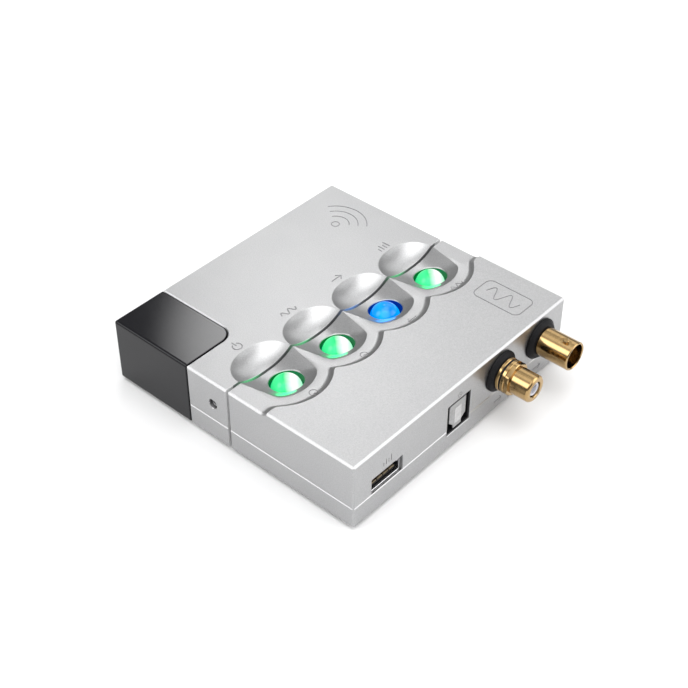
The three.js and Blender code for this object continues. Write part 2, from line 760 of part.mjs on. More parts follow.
// The dust door: hinged along its top edge, with its two lower corners cut away.
function opticalDoor() {
  const shape = new THREE.Shape();
  const corner = 1.7;
  shape.moveTo(-doorHalf + corner, doorBottom);
  shape.lineTo(doorHalf - corner, doorBottom);
  shape.lineTo(doorHalf, doorBottom + corner);
  shape.lineTo(doorHalf, doorTop);
  shape.lineTo(-doorHalf, doorTop);
  shape.lineTo(-doorHalf, doorBottom + corner);
  shape.closePath();
  const plate = new THREE.ExtrudeGeometry(shape, { depth: doorThickness, bevelEnabled: false });
  plate.rotateX(Math.PI / 2).rotateZ(Math.PI / 2).translate(doorFace - doorThickness, opticalY, 0);
  return solid(plate);
}

// Black insulating washer, wide at the panel and tapering outwards.
function panelWasher(y, boreRadius) {
  return turned(
    [[boreRadius, 0.15], [6.9, 0.15], [6.9, 0.6], [5.7, 1.9], [boreRadius, 1.9], [boreRadius, 0.15]],
    [caseLength, y, socketAxisZ], 'x', 28,
  );
}

const stemRadius = 4.0;
const stemBack = -10;

function socketNut(y) {
  const nut = new THREE.CylinderGeometry(6.6, 6.6, 2.4, 6).rotateZ(Math.PI / 2);
  const placed = solid(nut.translate(caseLength - wall - 1.6, y, socketAxisZ));
  return cut(placed, [rodX(stemRadius + 0.3, caseLength - 10, caseLength, [y, socketAxisZ])]);
}

function rcaBody() {
  const outside = turned(
    [[0, stemBack], [stemRadius, stemBack], [stemRadius, 2.2], [5.5, 2.2], [5.5, 3.2], [4.9, 3.2], [4.9, 3.8],
      [5.5, 3.8], [5.5, 5.0], [4.45, 5.0], [4.45, 12.6], [3.9, 13.2], [2.6, 13.2], [2.6, 1.0], [0, 1.0]],
    [caseLength, rcaY, socketAxisZ], 'x', 28,
  );
  const flange = new THREE.CylinderGeometry(5.9, 5.9, 1.5, 6).rotateX(Math.PI / 6).rotateZ(Math.PI / 2);
  const placedFlange = solid(flange.translate(caseLength + 5.7, rcaY, socketAxisZ));
  const trimmed = placedFlange.intersect(rodX(5.5, caseLength + 4, caseLength + 8, [rcaY, socketAxisZ], 28));
  const hollow = rodX(2.6, caseLength + 1, caseLength + 14, [rcaY, socketAxisZ], 28);
  return join([outside, cut(trimmed, [hollow])]);
}

function rcaInsulator() {
  return turned(
    [[1.65, 1.3], [2.3, 1.3], [2.3, 12.7], [1.65, 12.7], [1.65, 1.3]],
    [caseLength, rcaY, socketAxisZ], 'x', 24,
  );
}

function bncBody() {
  const barrelOuter = 4.8;
  const barrelInner = 4.05;
  const barrel = turned(
    [[0, stemBack], [stemRadius, stemBack], [stemRadius, 2.2], [barrelOuter, 2.2],
      [barrelOuter, connectorReach - 0.2], [barrelOuter - 0.2, connectorReach],
      [barrelInner, connectorReach], [barrelInner, 4], [0, 4]],
    [caseLength, bncY, socketAxisZ], 'x', 28,
  );
  const lug = (angle) => {
    const pin = new THREE.CylinderGeometry(0.95, 0.95, 1.6, 14).translate(0, barrelOuter, 0);
    return solid(pin.rotateX(angle).translate(caseLength + 8.6, bncY, socketAxisZ));
  };
  const upward = Math.PI / 2 - THREE.MathUtils.degToRad(20);
  return join([barrel, lug(upward), lug(upward + Math.PI)]);
}

function bncInsulator() {
  return turned(
    [[0.95, 4.3], [2.4, 4.3], [2.4, 9.4], [0.95, 9.4], [0.95, 4.3]],
    [caseLength, bncY, socketAxisZ], 'x', 24,
  );
}

function bncContact() {
  return turned(
    [[0, 4.4], [0.6, 4.4], [0.6, 8.8], [0.45, 9.1], [0, 9.1]],
    [caseLength, bncY, socketAxisZ], 'x', 12,
  );
}

function dockPlug() {
  const [dockY, dockHeights] = dockSpan(0);
  const face = box([outputStart + 0.1, outputStart + dockWall + 0.5], dockY, dockHeights);
  const header = box([outputStart + dockWall + 0.3, outputStart + 7], [-4.6, 4.6],
    [outputBoardTop + 0.3, dockZ + dockHeight / 2]);
  const tongue = box([streamerLength - 5, outputStart + 1], [-6.7, 6.7], [dockZ - 1.1, dockZ + 1.1]);
  return join([face, header, tongue]);
}

// A steel pin that ties the modules together; the lock screw bears on its waist.
function lockPin(side) {
  const tip = streamerLength - 8;
  const back = outputStart + wall + 3;
  return turned(
    [[0, tip], [1.4, tip], [lockPinRadius, tip + 0.6], [lockPinRadius, lockScrewX - 1.4],
      [1.5, lockScrewX - 0.8], [1.5, lockScrewX + 0.8], [lockPinRadius, lockScrewX + 1.4],
      [lockPinRadius, back - 1.6], [3.4, back - 1.6], [3.4, back], [0, back]],
    [0, side * lockPinY, lockZ], 'x', 12,
  );
}

// ---------------------------------------------------------------- assembly

const assembly = new THREE.Group();
assembly.position.x = -(caseLength + connectorReach) / 2;

function addPiece(name, body, material) {
  const mesh = new THREE.Mesh(geometryOf(body), material);
  mesh.name = name;
  assembly.add(mesh);
}

addPiece('streamer_upper_shell', streamerUpperShell(), aluminium);
addPiece('streamer_bottom_cover', streamerBottomCover(), aluminium);
addPiece('antenna_cover', antennaCover(), blackGloss);
addPiece('antenna_board', antennaBoard(), greenBoard);
addPiece('streamer_board', streamerBoard(), greenBoard);
addPiece('wireless_module', wirelessModule(), steel);
addPiece('battery_pack', batteryPack(), batteryWrap);
addPiece('ethernet_jack', ethernetJack(), blackPlastic);
addPiece('charge_port', chargePort(), steel);
addPiece('card_socket_near', cardSocket(farPorts.cardNear), steel);
addPiece('card_socket_far', cardSocket(farPorts.cardFar), steel);
addPiece('setup_button', setupButton(), blackPlastic);
addPiece('setup_switch', setupSwitch(), blackPlastic);
addPiece('dock_socket', dockSocket(), blackPlastic);
addPiece('lock_screw_front', lockScrew(-1), steel);
addPiece('lock_screw_back', lockScrew(1), steel);

addPiece('output_upper_shell', outputUpperShell(), aluminium);
addPiece('output_bottom_cover', outputBottomCover(), aluminium);
addPiece('output_board', outputBoard(), greenBoard);
addPiece('dock_plug', dockPlug(), blackPlastic);
addPiece('lock_pin_front', lockPin(-1), steel);
addPiece('lock_pin_back', lockPin(1), steel);

const blueButton = 2;
scoopY.forEach((y, i) => {
  const number = i + 1;
  const glow = i === blueButton ? clearBlue : clearGreen;
  addPiece(`button_ball_${number}`, ballButton(y), glow);
  addPiece(`button_cup_${number}`, buttonCup(y), frosted);
  addPiece(`button_switch_${number}`, tactSwitch(y), blackPlastic);
});

addPiece('usb_shell', usbShell(), steel);
addPiece('usb_tongue', usbTongue(), blackPlastic);
addPiece('optical_housing', opticalHousing(), blackPlastic);
addPiece('optical_door', opticalDoor(), frosted);
addPiece('rca_body', rcaBody(), gold);
addPiece('rca_washer', panelWasher(rcaY, stemRadius + 0.3), rubber);
addPiece('rca_insulator', rcaInsulator(), whitePlastic);
addPiece('rca_nut', socketNut(rcaY), gold);
addPiece('bnc_body', bncBody(), gold);
addPiece('bnc_washer', panelWasher(bncY, stemRadius + 0.3), rubber);
addPiece('bnc_insulator', bncInsulator(), whitePlastic);
addPiece('bnc_contact', bncContact(), gold);
addPiece('bnc_nut', socketNut(bncY), gold);

const screwSets = { streamer: streamerScrews, output: outputScrews };
for (const [module, places] of Object.entries(screwSets)) {
  places.forEach((spot, i) => addPiece(`${module}_screw_${i + 1}`, coverScrew(spot), steel));
}
for (const [module, places] of Object.entries(footPlaces)) {
  places.forEach((spot, i) => addPiece(`${module}_foot_${i + 1}`, foot(spot), rubber));
}

const desktopBridge = new THREE.Group();
desktopBridge.add(assembly);

export default desktopBridge;
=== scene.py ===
import json
import math

import bmesh
import bpy
from mathutils import Matrix, Vector

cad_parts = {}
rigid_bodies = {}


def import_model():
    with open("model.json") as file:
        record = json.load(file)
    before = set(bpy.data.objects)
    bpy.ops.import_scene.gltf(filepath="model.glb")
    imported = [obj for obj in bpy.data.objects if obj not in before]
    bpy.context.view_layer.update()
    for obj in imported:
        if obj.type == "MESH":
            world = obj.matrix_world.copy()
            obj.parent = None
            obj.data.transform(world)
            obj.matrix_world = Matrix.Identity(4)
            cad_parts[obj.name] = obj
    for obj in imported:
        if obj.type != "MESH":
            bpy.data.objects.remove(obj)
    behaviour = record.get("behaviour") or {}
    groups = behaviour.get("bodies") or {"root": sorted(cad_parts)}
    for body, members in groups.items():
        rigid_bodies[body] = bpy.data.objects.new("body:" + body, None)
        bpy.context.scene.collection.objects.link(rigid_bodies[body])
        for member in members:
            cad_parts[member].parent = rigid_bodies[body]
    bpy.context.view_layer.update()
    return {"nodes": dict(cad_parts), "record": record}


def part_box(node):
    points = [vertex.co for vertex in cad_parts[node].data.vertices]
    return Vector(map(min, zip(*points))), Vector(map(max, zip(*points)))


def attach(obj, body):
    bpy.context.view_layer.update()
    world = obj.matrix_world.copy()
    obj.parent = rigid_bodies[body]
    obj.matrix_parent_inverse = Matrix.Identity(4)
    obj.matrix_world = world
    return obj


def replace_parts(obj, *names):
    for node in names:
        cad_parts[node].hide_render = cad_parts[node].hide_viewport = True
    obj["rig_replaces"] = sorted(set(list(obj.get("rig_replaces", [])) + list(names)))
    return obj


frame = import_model()

# ------------------------------------------------------------------ sizes, from the frame

MM = 0.001


def low(node):
    """Lowest corner of a CAD node, in millimetres from the far face."""
    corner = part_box(node)[0] / MM
    return Vector((corner.x - far_face, corner.y, corner.z))


def high(node):
    """Highest corner of a CAD node, in millimetres from the far face."""
    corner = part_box(node)[1] / MM
    return Vector((corner.x - far_face, corner.y, corner.z))


def middle(node):
    """Middle of a CAD node, in millimetres from the far face."""
    return (low(node) + high(node)) / 2


far_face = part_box("streamer_upper_shell")[0].x / MM
half_width = high("output_upper_shell").y
case_length = high("output_upper_shell").x
streamer_length = high("streamer_upper_shell").x
output_start = low("output_upper_shell").x
dock_plane = (streamer_length + output_start) / 2
stand = low("output_bottom_cover").z
strip_top = high("streamer_upper_shell").z
output_top = high("output_upper_shell").z
seam = (low("output_upper_shell").z + high("output_bottom_cover").z) / 2
seam_half = 0.06

edge_chamfer = 0.6
joint_chamfer = 0.35
seam_chamfer = 0.22
hair_chamfer = 0.16
joint_relief = 0.1
wall = 2.0
dock_wall = 1.6
inner = half_width - wall
tray_floor = stand + wall

antenna_length = 32.0
antenna_width = 20.2
antenna_corner = 5.0
cover_gap = 0.3
cable_door_z = (12.2, 17.2)

scoop_pitch = 22.4
scoop_depth = 2.8
scoop_power = 2.5
scoop_half = 11.05
thumb_reach = 9.2
thumb_power = 2.2
scoop_y = [step * scoop_pitch for step in (-1.5, -0.5, 0.5, 1.5)]
ball_hole_radius = 5.4
ball_clearance = 0.3
lock_pin_bore = 2.3
screw_bore = 1.5
boss_radius = 3.0

cove_radius = 3.5
cove_rise = output_top - strip_top
cove_run = math.sqrt(cove_radius**2 - (cove_radius - cove_rise) ** 2)

BUTTONS = (1, 2, 3, 4)
BLUE_BUTTON = 3


# ------------------------------------------------------------------ mesh building


def new_mesh(points, faces):
    """A mesh, still in millimetres, with its faces turned outwards."""
    mesh = bpy.data.meshes.new("shape")
    mesh.from_pydata([tuple(p) for p in points], [], faces)
    work = bmesh.new()
    work.from_mesh(mesh)
    bmesh.ops.recalc_face_normals(work, faces=work.faces)
    if work.calc_volume(signed=True) < 0:
        bmesh.ops.reverse_faces(work, faces=work.faces)
    work.to_mesh(mesh)
    work.free()
    return mesh


def loft(rings, closed=False):
    """A skin over rings of points, capped at its ends, or joined end to end when closed."""
    count = len(rings[0])
    faces = []
    pairs = len(rings) if closed else len(rings) - 1
    for row in range(pairs):
        here, there = row * count, ((row + 1) % len(rings)) * count
        for i in range(count):
            j = (i + 1) % count
            faces.append((here + i, here + j, there + j, there + i))
    if not closed:
        faces.append(tuple(range(count - 1, -1, -1)))
        faces.append(tuple(range((len(rings) - 1) * count, len(rings) * count)))
    return new_mesh([p for ring in rings for p in ring], faces)


def turn_point(u, v, w, axis):
    """(u, v) across and w along the named axis, as a point."""
    return {"z": (u, v, w), "x": (w, u, v), "y": (u, w, v)}[axis]


def stack(outline, levels, axis="z"):
    """A solid through copies of an outline: outline(grow) at each (height, grow) of levels."""
    return loft([[turn_point(u, v, height, axis) for u, v in outline(grow)] for height, grow in levels])


def rounded(u0, u1, v0, v1, corner=0.0, steps=6):
    """A rectangle's outline function, with its corners rounded when corner is over 0."""

    def outline(grow=0.0):
        radius = max(corner + grow, 0.01)
        left, right, bottom, top = u0 - grow, u1 + grow, v0 - grow, v1 + grow
        if not corner:
            return [(left, bottom), (right, bottom), (right, top), (left, top)]
        centres = [(right - radius, top - radius, 0), (left + radius, top - radius, 1)]
        centres += [(left + radius, bottom + radius, 2), (right - radius, bottom + radius, 3)]
        points = []
        for cu, cv, quarter in centres:
            for i in range(steps + 1):
                angle = (quarter + i / steps) * math.pi / 2
                points.append((cu + radius * math.cos(angle), cv + radius * math.sin(angle)))
        return points

    return outline


def circle(radius, centre=(0, 0), sides=64, start=0.0):
    """A circle's or regular polygon's outline function."""

    def outline(grow=0.0):
        reach = radius + grow
        turns = [start + 2 * math.pi * i / sides for i in range(sides)]
        return [(centre[0] + reach * math.cos(t), centre[1] + reach * math.sin(t)) for t in turns]

    return outline


def box(x, y, z):
    return stack(rounded(x[0], x[1], y[0], y[1]), [(z[0], 0), (z[1], 0)])


def rod(radius, z0, z1, centre, sides=48):
    return stack(circle(radius, centre, sides), [(z0, 0), (z1, 0)])


def rod_x(radius, x0, x1, centre, sides=64):
    return stack(circle(radius, centre, sides), [(x0, 0), (x1, 0)], "x")


def lathe(profile, centre, axis="x", sides=96):
    """A turned solid from (radius, height) points. A profile off the axis closes on itself."""
    solid = profile[0][0] == 0
    points, rows = [], []
    for radius, height in profile:
        if radius == 0:
            rows.append([len(points)] * sides)
            points.append((0.0, 0.0, height))
            continue
        rows.append(list(range(len(points), len(points) + sides)))
        for i in range(sides):
            angle = 2 * math.pi * i / sides
            points.append((radius * math.cos(angle), radius * math.sin(angle), height))
    faces = []
    for row in range(len(rows) - 1 if solid else len(rows)):
        here, there = rows[row], rows[(row + 1) % len(rows)]
        for i in range(sides):
            j = (i + 1) % sides
            corners = list(dict.fromkeys((here[i], here[j], there[j], there[i])))
            if len(corners) > 2:
                faces.append(tuple(corners))
    shifted = [Vector(turn_point(u, v, w, axis)) + Vector(centre) for u, v, w in points]
    return new_mesh(shifted, faces)


def joined(meshes):
    """Several separate closed meshes as one mesh."""
    work = bmesh.new()
    for mesh in meshes:
        work.from_mesh(mesh)
    whole = bpy.data.meshes.new("shape")
    work.to_mesh(whole)
    work.free()
    return whole


def combine(mesh, others, operation="DIFFERENCE"):
    """The mesh with other closed meshes cut away, or added with UNION."""
    target = bpy.data.objects.new("work", mesh)
    bpy.context.scene.collection.objects.link(target)
    tools = []
    for other in others:
        tool = bpy.data.objects.new("tool", other)
        bpy.context.scene.collection.objects.link(tool)
        tools.append(tool)
        step = target.modifiers.new("combine", "BOOLEAN")
        step.solver = "MANIFOLD"
        step.operation = operation
        step.material_mode = "TRANSFER"
        step.object = tool
    bpy.context.view_layer.update()
    evaluated = target.evaluated_get(bpy.context.evaluated_depsgraph_get())
    made = bpy.data.meshes.new_from_object(evaluated)
    for thing in [target, *tools]:
        bpy.data.objects.remove(thing)
    return made


def soften(mesh, width):
    """Rounds every sharp edge."""
    sharp_angle = math.radians(35)
    work = bmesh.new()
    work.from_mesh(mesh)
    bmesh.ops.remove_doubles(work, verts=work.verts, dist=1e-4)
    bmesh.ops.dissolve_limit(work, angle_limit=math.radians(0.5), verts=work.verts, edges=work.edges)
    sharp = [e for e in work.edges if e.is_manifold and e.calc_face_angle(0) > sharp_angle]
    bmesh.ops.bevel(work, geom=sharp, offset=width, segments=2, profile=0.5, affect="EDGES",
                    clamp_overlap=True)
    work.to_mesh(mesh)
    work.free()
    return mesh


def shade(mesh):
    """Smooth shading, broken at sharp edges and on the large faces that lie square to the axes."""
    large_area = 3
    mesh.shade_smooth()
    mesh.set_sharp_from_angle(angle=math.radians(28))
    for face in mesh.polygons:
        if face.area > large_area and max(abs(n) for n in face.normal) > 1 - 1e-7:
            face.use_smooth = False


def settle(mesh, name, materials, body, replaces):
    """Turns a finished mesh into a piece in the row frame that rides on a body."""
    shade(mesh)
    mesh.transform(Matrix.Diagonal((MM, MM, MM, 1)) @ Matrix.Translation((far_face, 0, 0)))
    mesh.name = name
    given = materials if isinstance(materials, (list, tuple)) else [materials]
    before = list(mesh.materials)
    kept = [before[face.material_index] if before else None for face in mesh.polygons]
    mesh.materials.clear()
    for material in given:
        mesh.materials.append(material)
    for face, material in zip(mesh.polygons, kept):
        face.material_index = given.index(material) if material in given else 0
    piece = bpy.data.objects.new(name, mesh)
    bpy.context.scene.collection.objects.link(piece)
    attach(piece, body)
    if replaces:
        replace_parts(piece, *replaces)
    return piece


# ------------------------------------------------------------------ materials


class Nodes:
    """Short calls for building one material's nodes."""

    def __init__(self, name):
        self.material = bpy.data.materials.new(name)
        self.material.use_nodes = True
        self.tree = self.material.node_tree
        self.shader = self.tree.nodes["Principled BSDF"]
        self.where = self.tree.nodes.new("ShaderNodeTexCoord").outputs["Object"]

    def link(self, out, socket):
        self.tree.links.new(out, socket)

    def noise(self, scale_mm, detail=2.0, roughness=0.5, stretch=(1, 1, 1)):
        """Noise whose grains are about scale_mm across."""
        mapping = self.tree.nodes.new("ShaderNodeMapping")
        mapping.inputs["Scale"].default_value = [1 / (scale_mm * MM) * s for s in stretch]
        self.link(self.where, mapping.inputs["Vector"])
        noise = self.tree.nodes.new("ShaderNodeTexNoise")
        noise.inputs["Scale"].default_value = 1.0
        noise.inputs["Detail"].default_value = detail
        noise.inputs["Roughness"].default_value = roughness
        self.link(mapping.outputs["Vector"], noise.inputs["Vector"])
        return noise.outputs["Fac"]

    def ramp(self, value, stops):
        node = self.tree.nodes.new("ShaderNodeValToRGB")
        node.color_ramp.elements[0].position = stops[0][0]
        node.color_ramp.elements[1].position = stops[-1][0]
        for at, _ in stops[1:-1]:
            node.color_ramp.elements.new(at)
        for element, (_, colour) in zip(node.color_ramp.elements, stops):
            element.color = (*colour, 1) if len(colour) == 3 else colour
        self.link(value, node.inputs["Fac"])
        return node.outputs["Color"]

    def spread(self, value, from_low, from_high, to_low, to_high):
        node = self.tree.nodes.new("ShaderNodeMapRange")
        node.inputs["From Min"].default_value = from_low
        node.inputs["From Max"].default_value = from_high
        node.inputs["To Min"].default_value = to_low
        node.inputs["To Max"].default_value = to_high
        self.link(value, node.inputs["Value"])
        return node.outputs["Result"]

    def bump(self, height, depth_mm, strength=1.0):
        node = self.tree.nodes.new("ShaderNodeBump")
        node.inputs["Strength"].default_value = strength
        node.inputs["Distance"].default_value = depth_mm * MM
        self.link(height, node.inputs["Height"])
        self.link(node.outputs["Normal"], self.shader.inputs["Normal"])

    def set(self, **values):
        for key, value in values.items():
            self.shader.inputs[key.replace("_", " ")].default_value = value


def tinted(name, dark, light, grain_mm, roughness, grain_depth=0.004, **values):
    """A surface whose colour, roughness and relief all vary with a fine grain."""
    nodes = Nodes(name)
    grain = nodes.noise(grain_mm, detail=3)
    nodes.link(nodes.ramp(grain, [(0.3, dark), (0.7, light)]), nodes.shader.inputs["Base Color"])
    wide = nodes.noise(grain_mm * 12, detail=2)
    nodes.link(nodes.spread(wide, 0.3, 0.7, roughness[0], roughness[1]), nodes.shader.inputs["Roughness"])
    nodes.bump(grain, grain_depth)
    nodes.set(**values)
    return nodes.material


def blasted_aluminium():
    """Bead-blasted, anodised aluminium: a fine bright speckle over a slightly cloudy satin metal."""
    nodes = Nodes("blasted_aluminium")
    speckle = nodes.noise(0.34, detail=3, roughness=0.7)
    cloud = nodes.noise(9.0, detail=3)
    mix = nodes.tree.nodes.new("ShaderNodeMix")
    mix.data_type = "RGBA"
    mix.blend_type = "MULTIPLY"
    mix.inputs["Factor"].default_value = 1.0
    tone = nodes.ramp(speckle, [(0.3, (0.370, 0.371, 0.374)), (0.7, (0.505, 0.506, 0.509))])
    nodes.link(tone, mix.inputs["A"])
    nodes.link(nodes.ramp(cloud, [(0.3, (0.975, 0.975, 0.98)), (0.7, (1.0, 1.0, 1.0))]), mix.inputs["B"])
    nodes.link(mix.outputs["Result"], nodes.shader.inputs["Base Color"])
    nodes.link(nodes.spread(speckle, 0.3, 0.7, 0.30, 0.42), nodes.shader.inputs["Roughness"])
    nodes.bump(nodes.noise(0.3, detail=2), 0.012, 0.8)
    nodes.set(Metallic=0.97)
    return nodes.material


# The direction in which a glowing ball's tones turn lighter: the side of its painted highlight.
LIT_SIDE = (0.684, 0.736, 0.114)


def glowing_ball(name, tones, strength=1.0):
    """A clear cast ball lit from below, which glows. Its tones run across it, from its far left side to its
    right, and the lighter and white tones towards its right are a painted highlight.
    """
    nodes = Nodes(name)
    across = nodes.tree.nodes.new("ShaderNodeVectorMath")
    across.operation = "DOT_PRODUCT"
    across.inputs[1].default_value = LIT_SIDE
    nodes.link(nodes.tree.nodes.new("ShaderNodeTexCoord").outputs["Normal"], across.inputs[0])
    swirl = nodes.noise(2.2, detail=2)
    total = nodes.tree.nodes.new("ShaderNodeMath")
    total.operation = "MULTIPLY_ADD"
    total.inputs[1].default_value = 0.16
    nodes.link(swirl, total.inputs[0])
    nodes.link(across.outputs["Value"], total.inputs[2])
    reach = nodes.spread(total.outputs["Value"], -0.92, 1.08, 0.0, 1.0)
    nodes.link(nodes.ramp(reach, tones), nodes.shader.inputs["Emission Color"])
    shades = [tuple(0.12 * channel for channel in tone) for _, tone in tones[:2]]
    nodes.link(nodes.ramp(swirl, [(0.3, shades[0]), (0.7, shades[1])]), nodes.shader.inputs["Base Color"])
    nodes.set(Emission_Strength=strength, Roughness=0.08, IOR=1.35)
    nodes.set(Coat_Weight=0.15, Coat_Roughness=0.03)
    return nodes.material


def polished_gold():
    nodes = Nodes("polished_gold")
    lathe_marks = nodes.noise(0.5, detail=2, stretch=(6, 0.3, 0.3))
    tone = nodes.ramp(lathe_marks, [(0.3, (0.40, 0.262, 0.112)), (0.7, (0.50, 0.345, 0.165))])
    nodes.link(tone, nodes.shader.inputs["Base Color"])
    nodes.link(nodes.spread(lathe_marks, 0.3, 0.7, 0.10, 0.17), nodes.shader.inputs["Roughness"])
    nodes.bump(lathe_marks, 0.001, 0.5)
    nodes.set(Metallic=1.0)
    return nodes.material


def gloss_black():
    nodes = Nodes("gloss_black")
    ripple = nodes.noise(14.0, detail=1)
    dust = nodes.noise(0.5, detail=2)
    nodes.link(nodes.ramp(dust, [(0.35, (0.004, 0.004, 0.0055)), (0.7, (0.007, 0.007, 0.009))]),
               nodes.shader.inputs["Base Color"])
    nodes.link(nodes.spread(dust, 0.3, 0.7, 0.05, 0.09), nodes.shader.inputs["Roughness"])
    nodes.bump(ripple, 0.02, 0.25)
    nodes.set(IOR=1.30, Coat_Weight=0.12, Coat_Roughness=0.03)
    return nodes.material


aluminium = blasted_aluminium()
black = gloss_black()
gold = polished_gold()
# Two copies of the docking faces' metal. The dark one is painted shade for the deep gap between the modules
# and for the USB opening. The pale, less metallic one is painted light on the ends of the joint.
painted_shade_dock_metal = tinted("docking_face_painted_shade", (0.17, 0.17, 0.175), (0.26, 0.26, 0.265),
                    0.4, (0.55, 0.7), Metallic=0.15)
painted_light_joint_metal = tinted("joint_edge_painted_light", (0.50, 0.50, 0.505), (0.66, 0.66, 0.665),
                     0.4, (0.5, 0.65), Metallic=0.1)
engraving = tinted("engraving", (0.20, 0.20, 0.205), (0.34, 0.34, 0.345), 0.2, (0.5, 0.7), Metallic=0.5)
dark_plastic = tinted("dark_plastic", (0.005, 0.005, 0.006), (0.012, 0.012, 0.013),
                      0.35, (0.4, 0.55), IOR=1.22)
washer_black = tinted("washer_black", (0.005, 0.005, 0.006), (0.012, 0.012, 0.013),
                      0.5, (0.45, 0.6), IOR=1.22)
rubber = tinted("foot_rubber", (0.012, 0.012, 0.012), (0.026, 0.026, 0.026), 0.4, (0.7, 0.9), 0.02)
board = tinted("board_green", (0.012, 0.09, 0.035), (0.02, 0.14, 0.055), 0.8, (0.35, 0.5))
battery_wrap = tinted("battery_wrap", (0.035, 0.055, 0.10), (0.05, 0.08, 0.14), 2.5, (0.25, 0.4))
dull_brass = tinted("dull_brass", (0.16, 0.125, 0.075), (0.24, 0.19, 0.12), 0.5, (0.35, 0.5), Metallic=0.8)
nickel = tinted("nickel_sheet", (0.48, 0.48, 0.49), (0.66, 0.66, 0.67),
                0.6, (0.2, 0.32), 0.003, Metallic=1.0)
zinc = tinted("zinc_steel", (0.26, 0.26, 0.27), (0.42, 0.42, 0.43), 0.5, (0.28, 0.42), 0.003, Metallic=1.0)
frosted = tinted("door_frosted", (0.25, 0.25, 0.25), (0.35, 0.35, 0.35), 0.8, (0.28, 0.42), IOR=1.46)
door_core = tinted("door_core", (0.43, 0.43, 0.43), (0.53, 0.53, 0.53), 0.8, (0.3, 0.42), IOR=1.46)
white_plastic = tinted("insulator_white", (0.55, 0.55, 0.60), (0.68, 0.68, 0.73), 0.5, (0.35, 0.5))
GREEN, PALE_GREEN = (0.035, 0.78, 0.25), (0.35, 1.0, 0.6)
BLUE, SKY_BLUE = (0.0, 0.24, 1.0), (0.0, 0.42, 1.0)
WHITE = (1.0, 1.0, 1.0)
# The white stops in the green ball's tones are its painted highlight, over the green glow.
ball_green = glowing_ball("ball_green", [
    (0.0, GREEN), (0.30, (0.07, 0.90, 0.33)), (0.46, GREEN), (0.69, WHITE), (0.84, WHITE), (1.0, PALE_GREEN)])
ball_blue = glowing_ball("ball_blue", [(0.0, BLUE), (0.35, SKY_BLUE), (0.7, BLUE), (1.0, SKY_BLUE)])
cup_green = glowing_ball("cup_green", [(0.0, (0.0, 0.10, 0.03)), (1.0, (0.0, 0.24, 0.08))], 0.7)
cup_blue = glowing_ball("cup_blue", [(0.0, (0.0, 0.02, 0.20)), (1.0, (0.0, 0.06, 0.45))], 0.7)
# The ball holes' walls are aluminium. Their green and blue tints are painted light from the glowing balls.
painted_green_glow_wall = tinted("hole_wall_painted_green_glow", (0.0, 0.14, 0.04), (0.0, 0.22, 0.07), 0.4, (0.35, 0.5), Metallic=0.8)
painted_blue_glow_wall = tinted("hole_wall_painted_blue_glow", (0.0, 0.03, 0.22), (0.0, 0.06, 0.34), 0.4, (0.35, 0.5), Metallic=0.8)

SLOT_LOOKS = {
    "case_aluminium": aluminium, "cover_black": black, "board_green": board, "battery_wrap": battery_wrap,
    "port_plastic": dark_plastic, "port_steel": nickel, "fastener_steel": zinc, "connector_gold": gold,
    "washer_black": washer_black, "foot_rubber": rubber, "ball_green": ball_green, "ball_blue": ball_blue,
    "cup_clear": cup_green, "door_frosted": frosted, "insulator_white": white_plastic,
}
slot_of = {row["node"]: row["material_slot"] for row in frame["record"]["subparts"]}
body_of = {node: body for body, nodes in frame["record"]["behaviour"]["bodies"].items() for node in nodes}


def piece(node, mesh, materials=None):
    """A piece that stands for one CAD node: it rides on the same body, and without given materials it takes
    the look of the node's material slot.
    """
    slot = slot_of[node]
    look = materials or SLOT_LOOKS[slot]
    return settle(mesh, node + "_finished", look, body_of[node], [node])


def extra(name, mesh, material, body="case"):
    """A small fixed detail with no CAD node of its own."""
    return settle(mesh, name, material, body, ())


# ------------------------------------------------------------------ scoops, wave and cove


def output_rim(angle):
    """Distance from a scoop's centre, on the docking plane, to its rim on the output module."""
    c, s = abs(math.cos(angle)), abs(math.sin(angle))
    side = scoop_half / (s + 0.205 * c)
    end = 3.25 * c + math.sqrt(12.9**2 - (3.25 * s) ** 2)
    return (side**-36 + end**-36) ** (-1 / 36)


def thumb_rim(angle):
    """The same on the streamer."""
    c, s = abs(math.cos(angle)), abs(math.sin(angle))
    return ((c / thumb_reach) ** thumb_power + (s / scoop_half) ** thumb_power) ** (-1 / thumb_power)


def scoop_floor(rim, centre_y, x, y):
    """Height of a scoop's floor, or of the strip where the point lies outside the scoop."""
    dx, dy = x - dock_plane, y - centre_y
    reach = math.hypot(dx, dy)
    share = reach / rim(math.atan2(dy, dx)) if reach > 1e-9 else 0.0
    return strip_top - scoop_depth * (1 - min(share, 1.0) ** scoop_power)


def scoop_tool(rim, centre_y):
    """Hollows one scoop, with a softly rounded rim."""
    spokes, rows, rounding, last_slope = 192, 22, 0.5, 0.06
    shares = [0.004 + 0.996 * row / rows for row in range(rows)]

    def ring(reach_of, height_of):
        points = []
        for i in range(spokes):
            angle = 2 * math.pi * (i + 0.5) / spokes
            reach = reach_of(rim(angle))
            across = (dock_plane + reach * math.cos(angle), centre_y + reach * math.sin(angle))
            points.append((*across, height_of(rim(angle))))
        return points

    def eased(rim_reach, step):
        slope = scoop_depth * scoop_power / rim_reach
        start = strip_top - slope * rounding / 2
        fall = (slope - last_slope) * step**2 / (2 * rounding)
        return start + slope * step - fall

    rings = []
    for share in shares:
        height = strip_top - scoop_depth * (1 - share**scoop_power)
        if share < 0.93:
            rings.append(ring(lambda r, s=share: r * s, lambda r, h=height: h))
    steps = [rounding * k / 6 for k in range(7)]
    for step in steps:
        rings.append(ring(lambda r, d=step: r - rounding / 2 + d, lambda r, d=step: eased(r, d)))
    rings.append(ring(lambda r: r + rounding / 2, lambda r: strip_top + 2))
    return loft(rings)


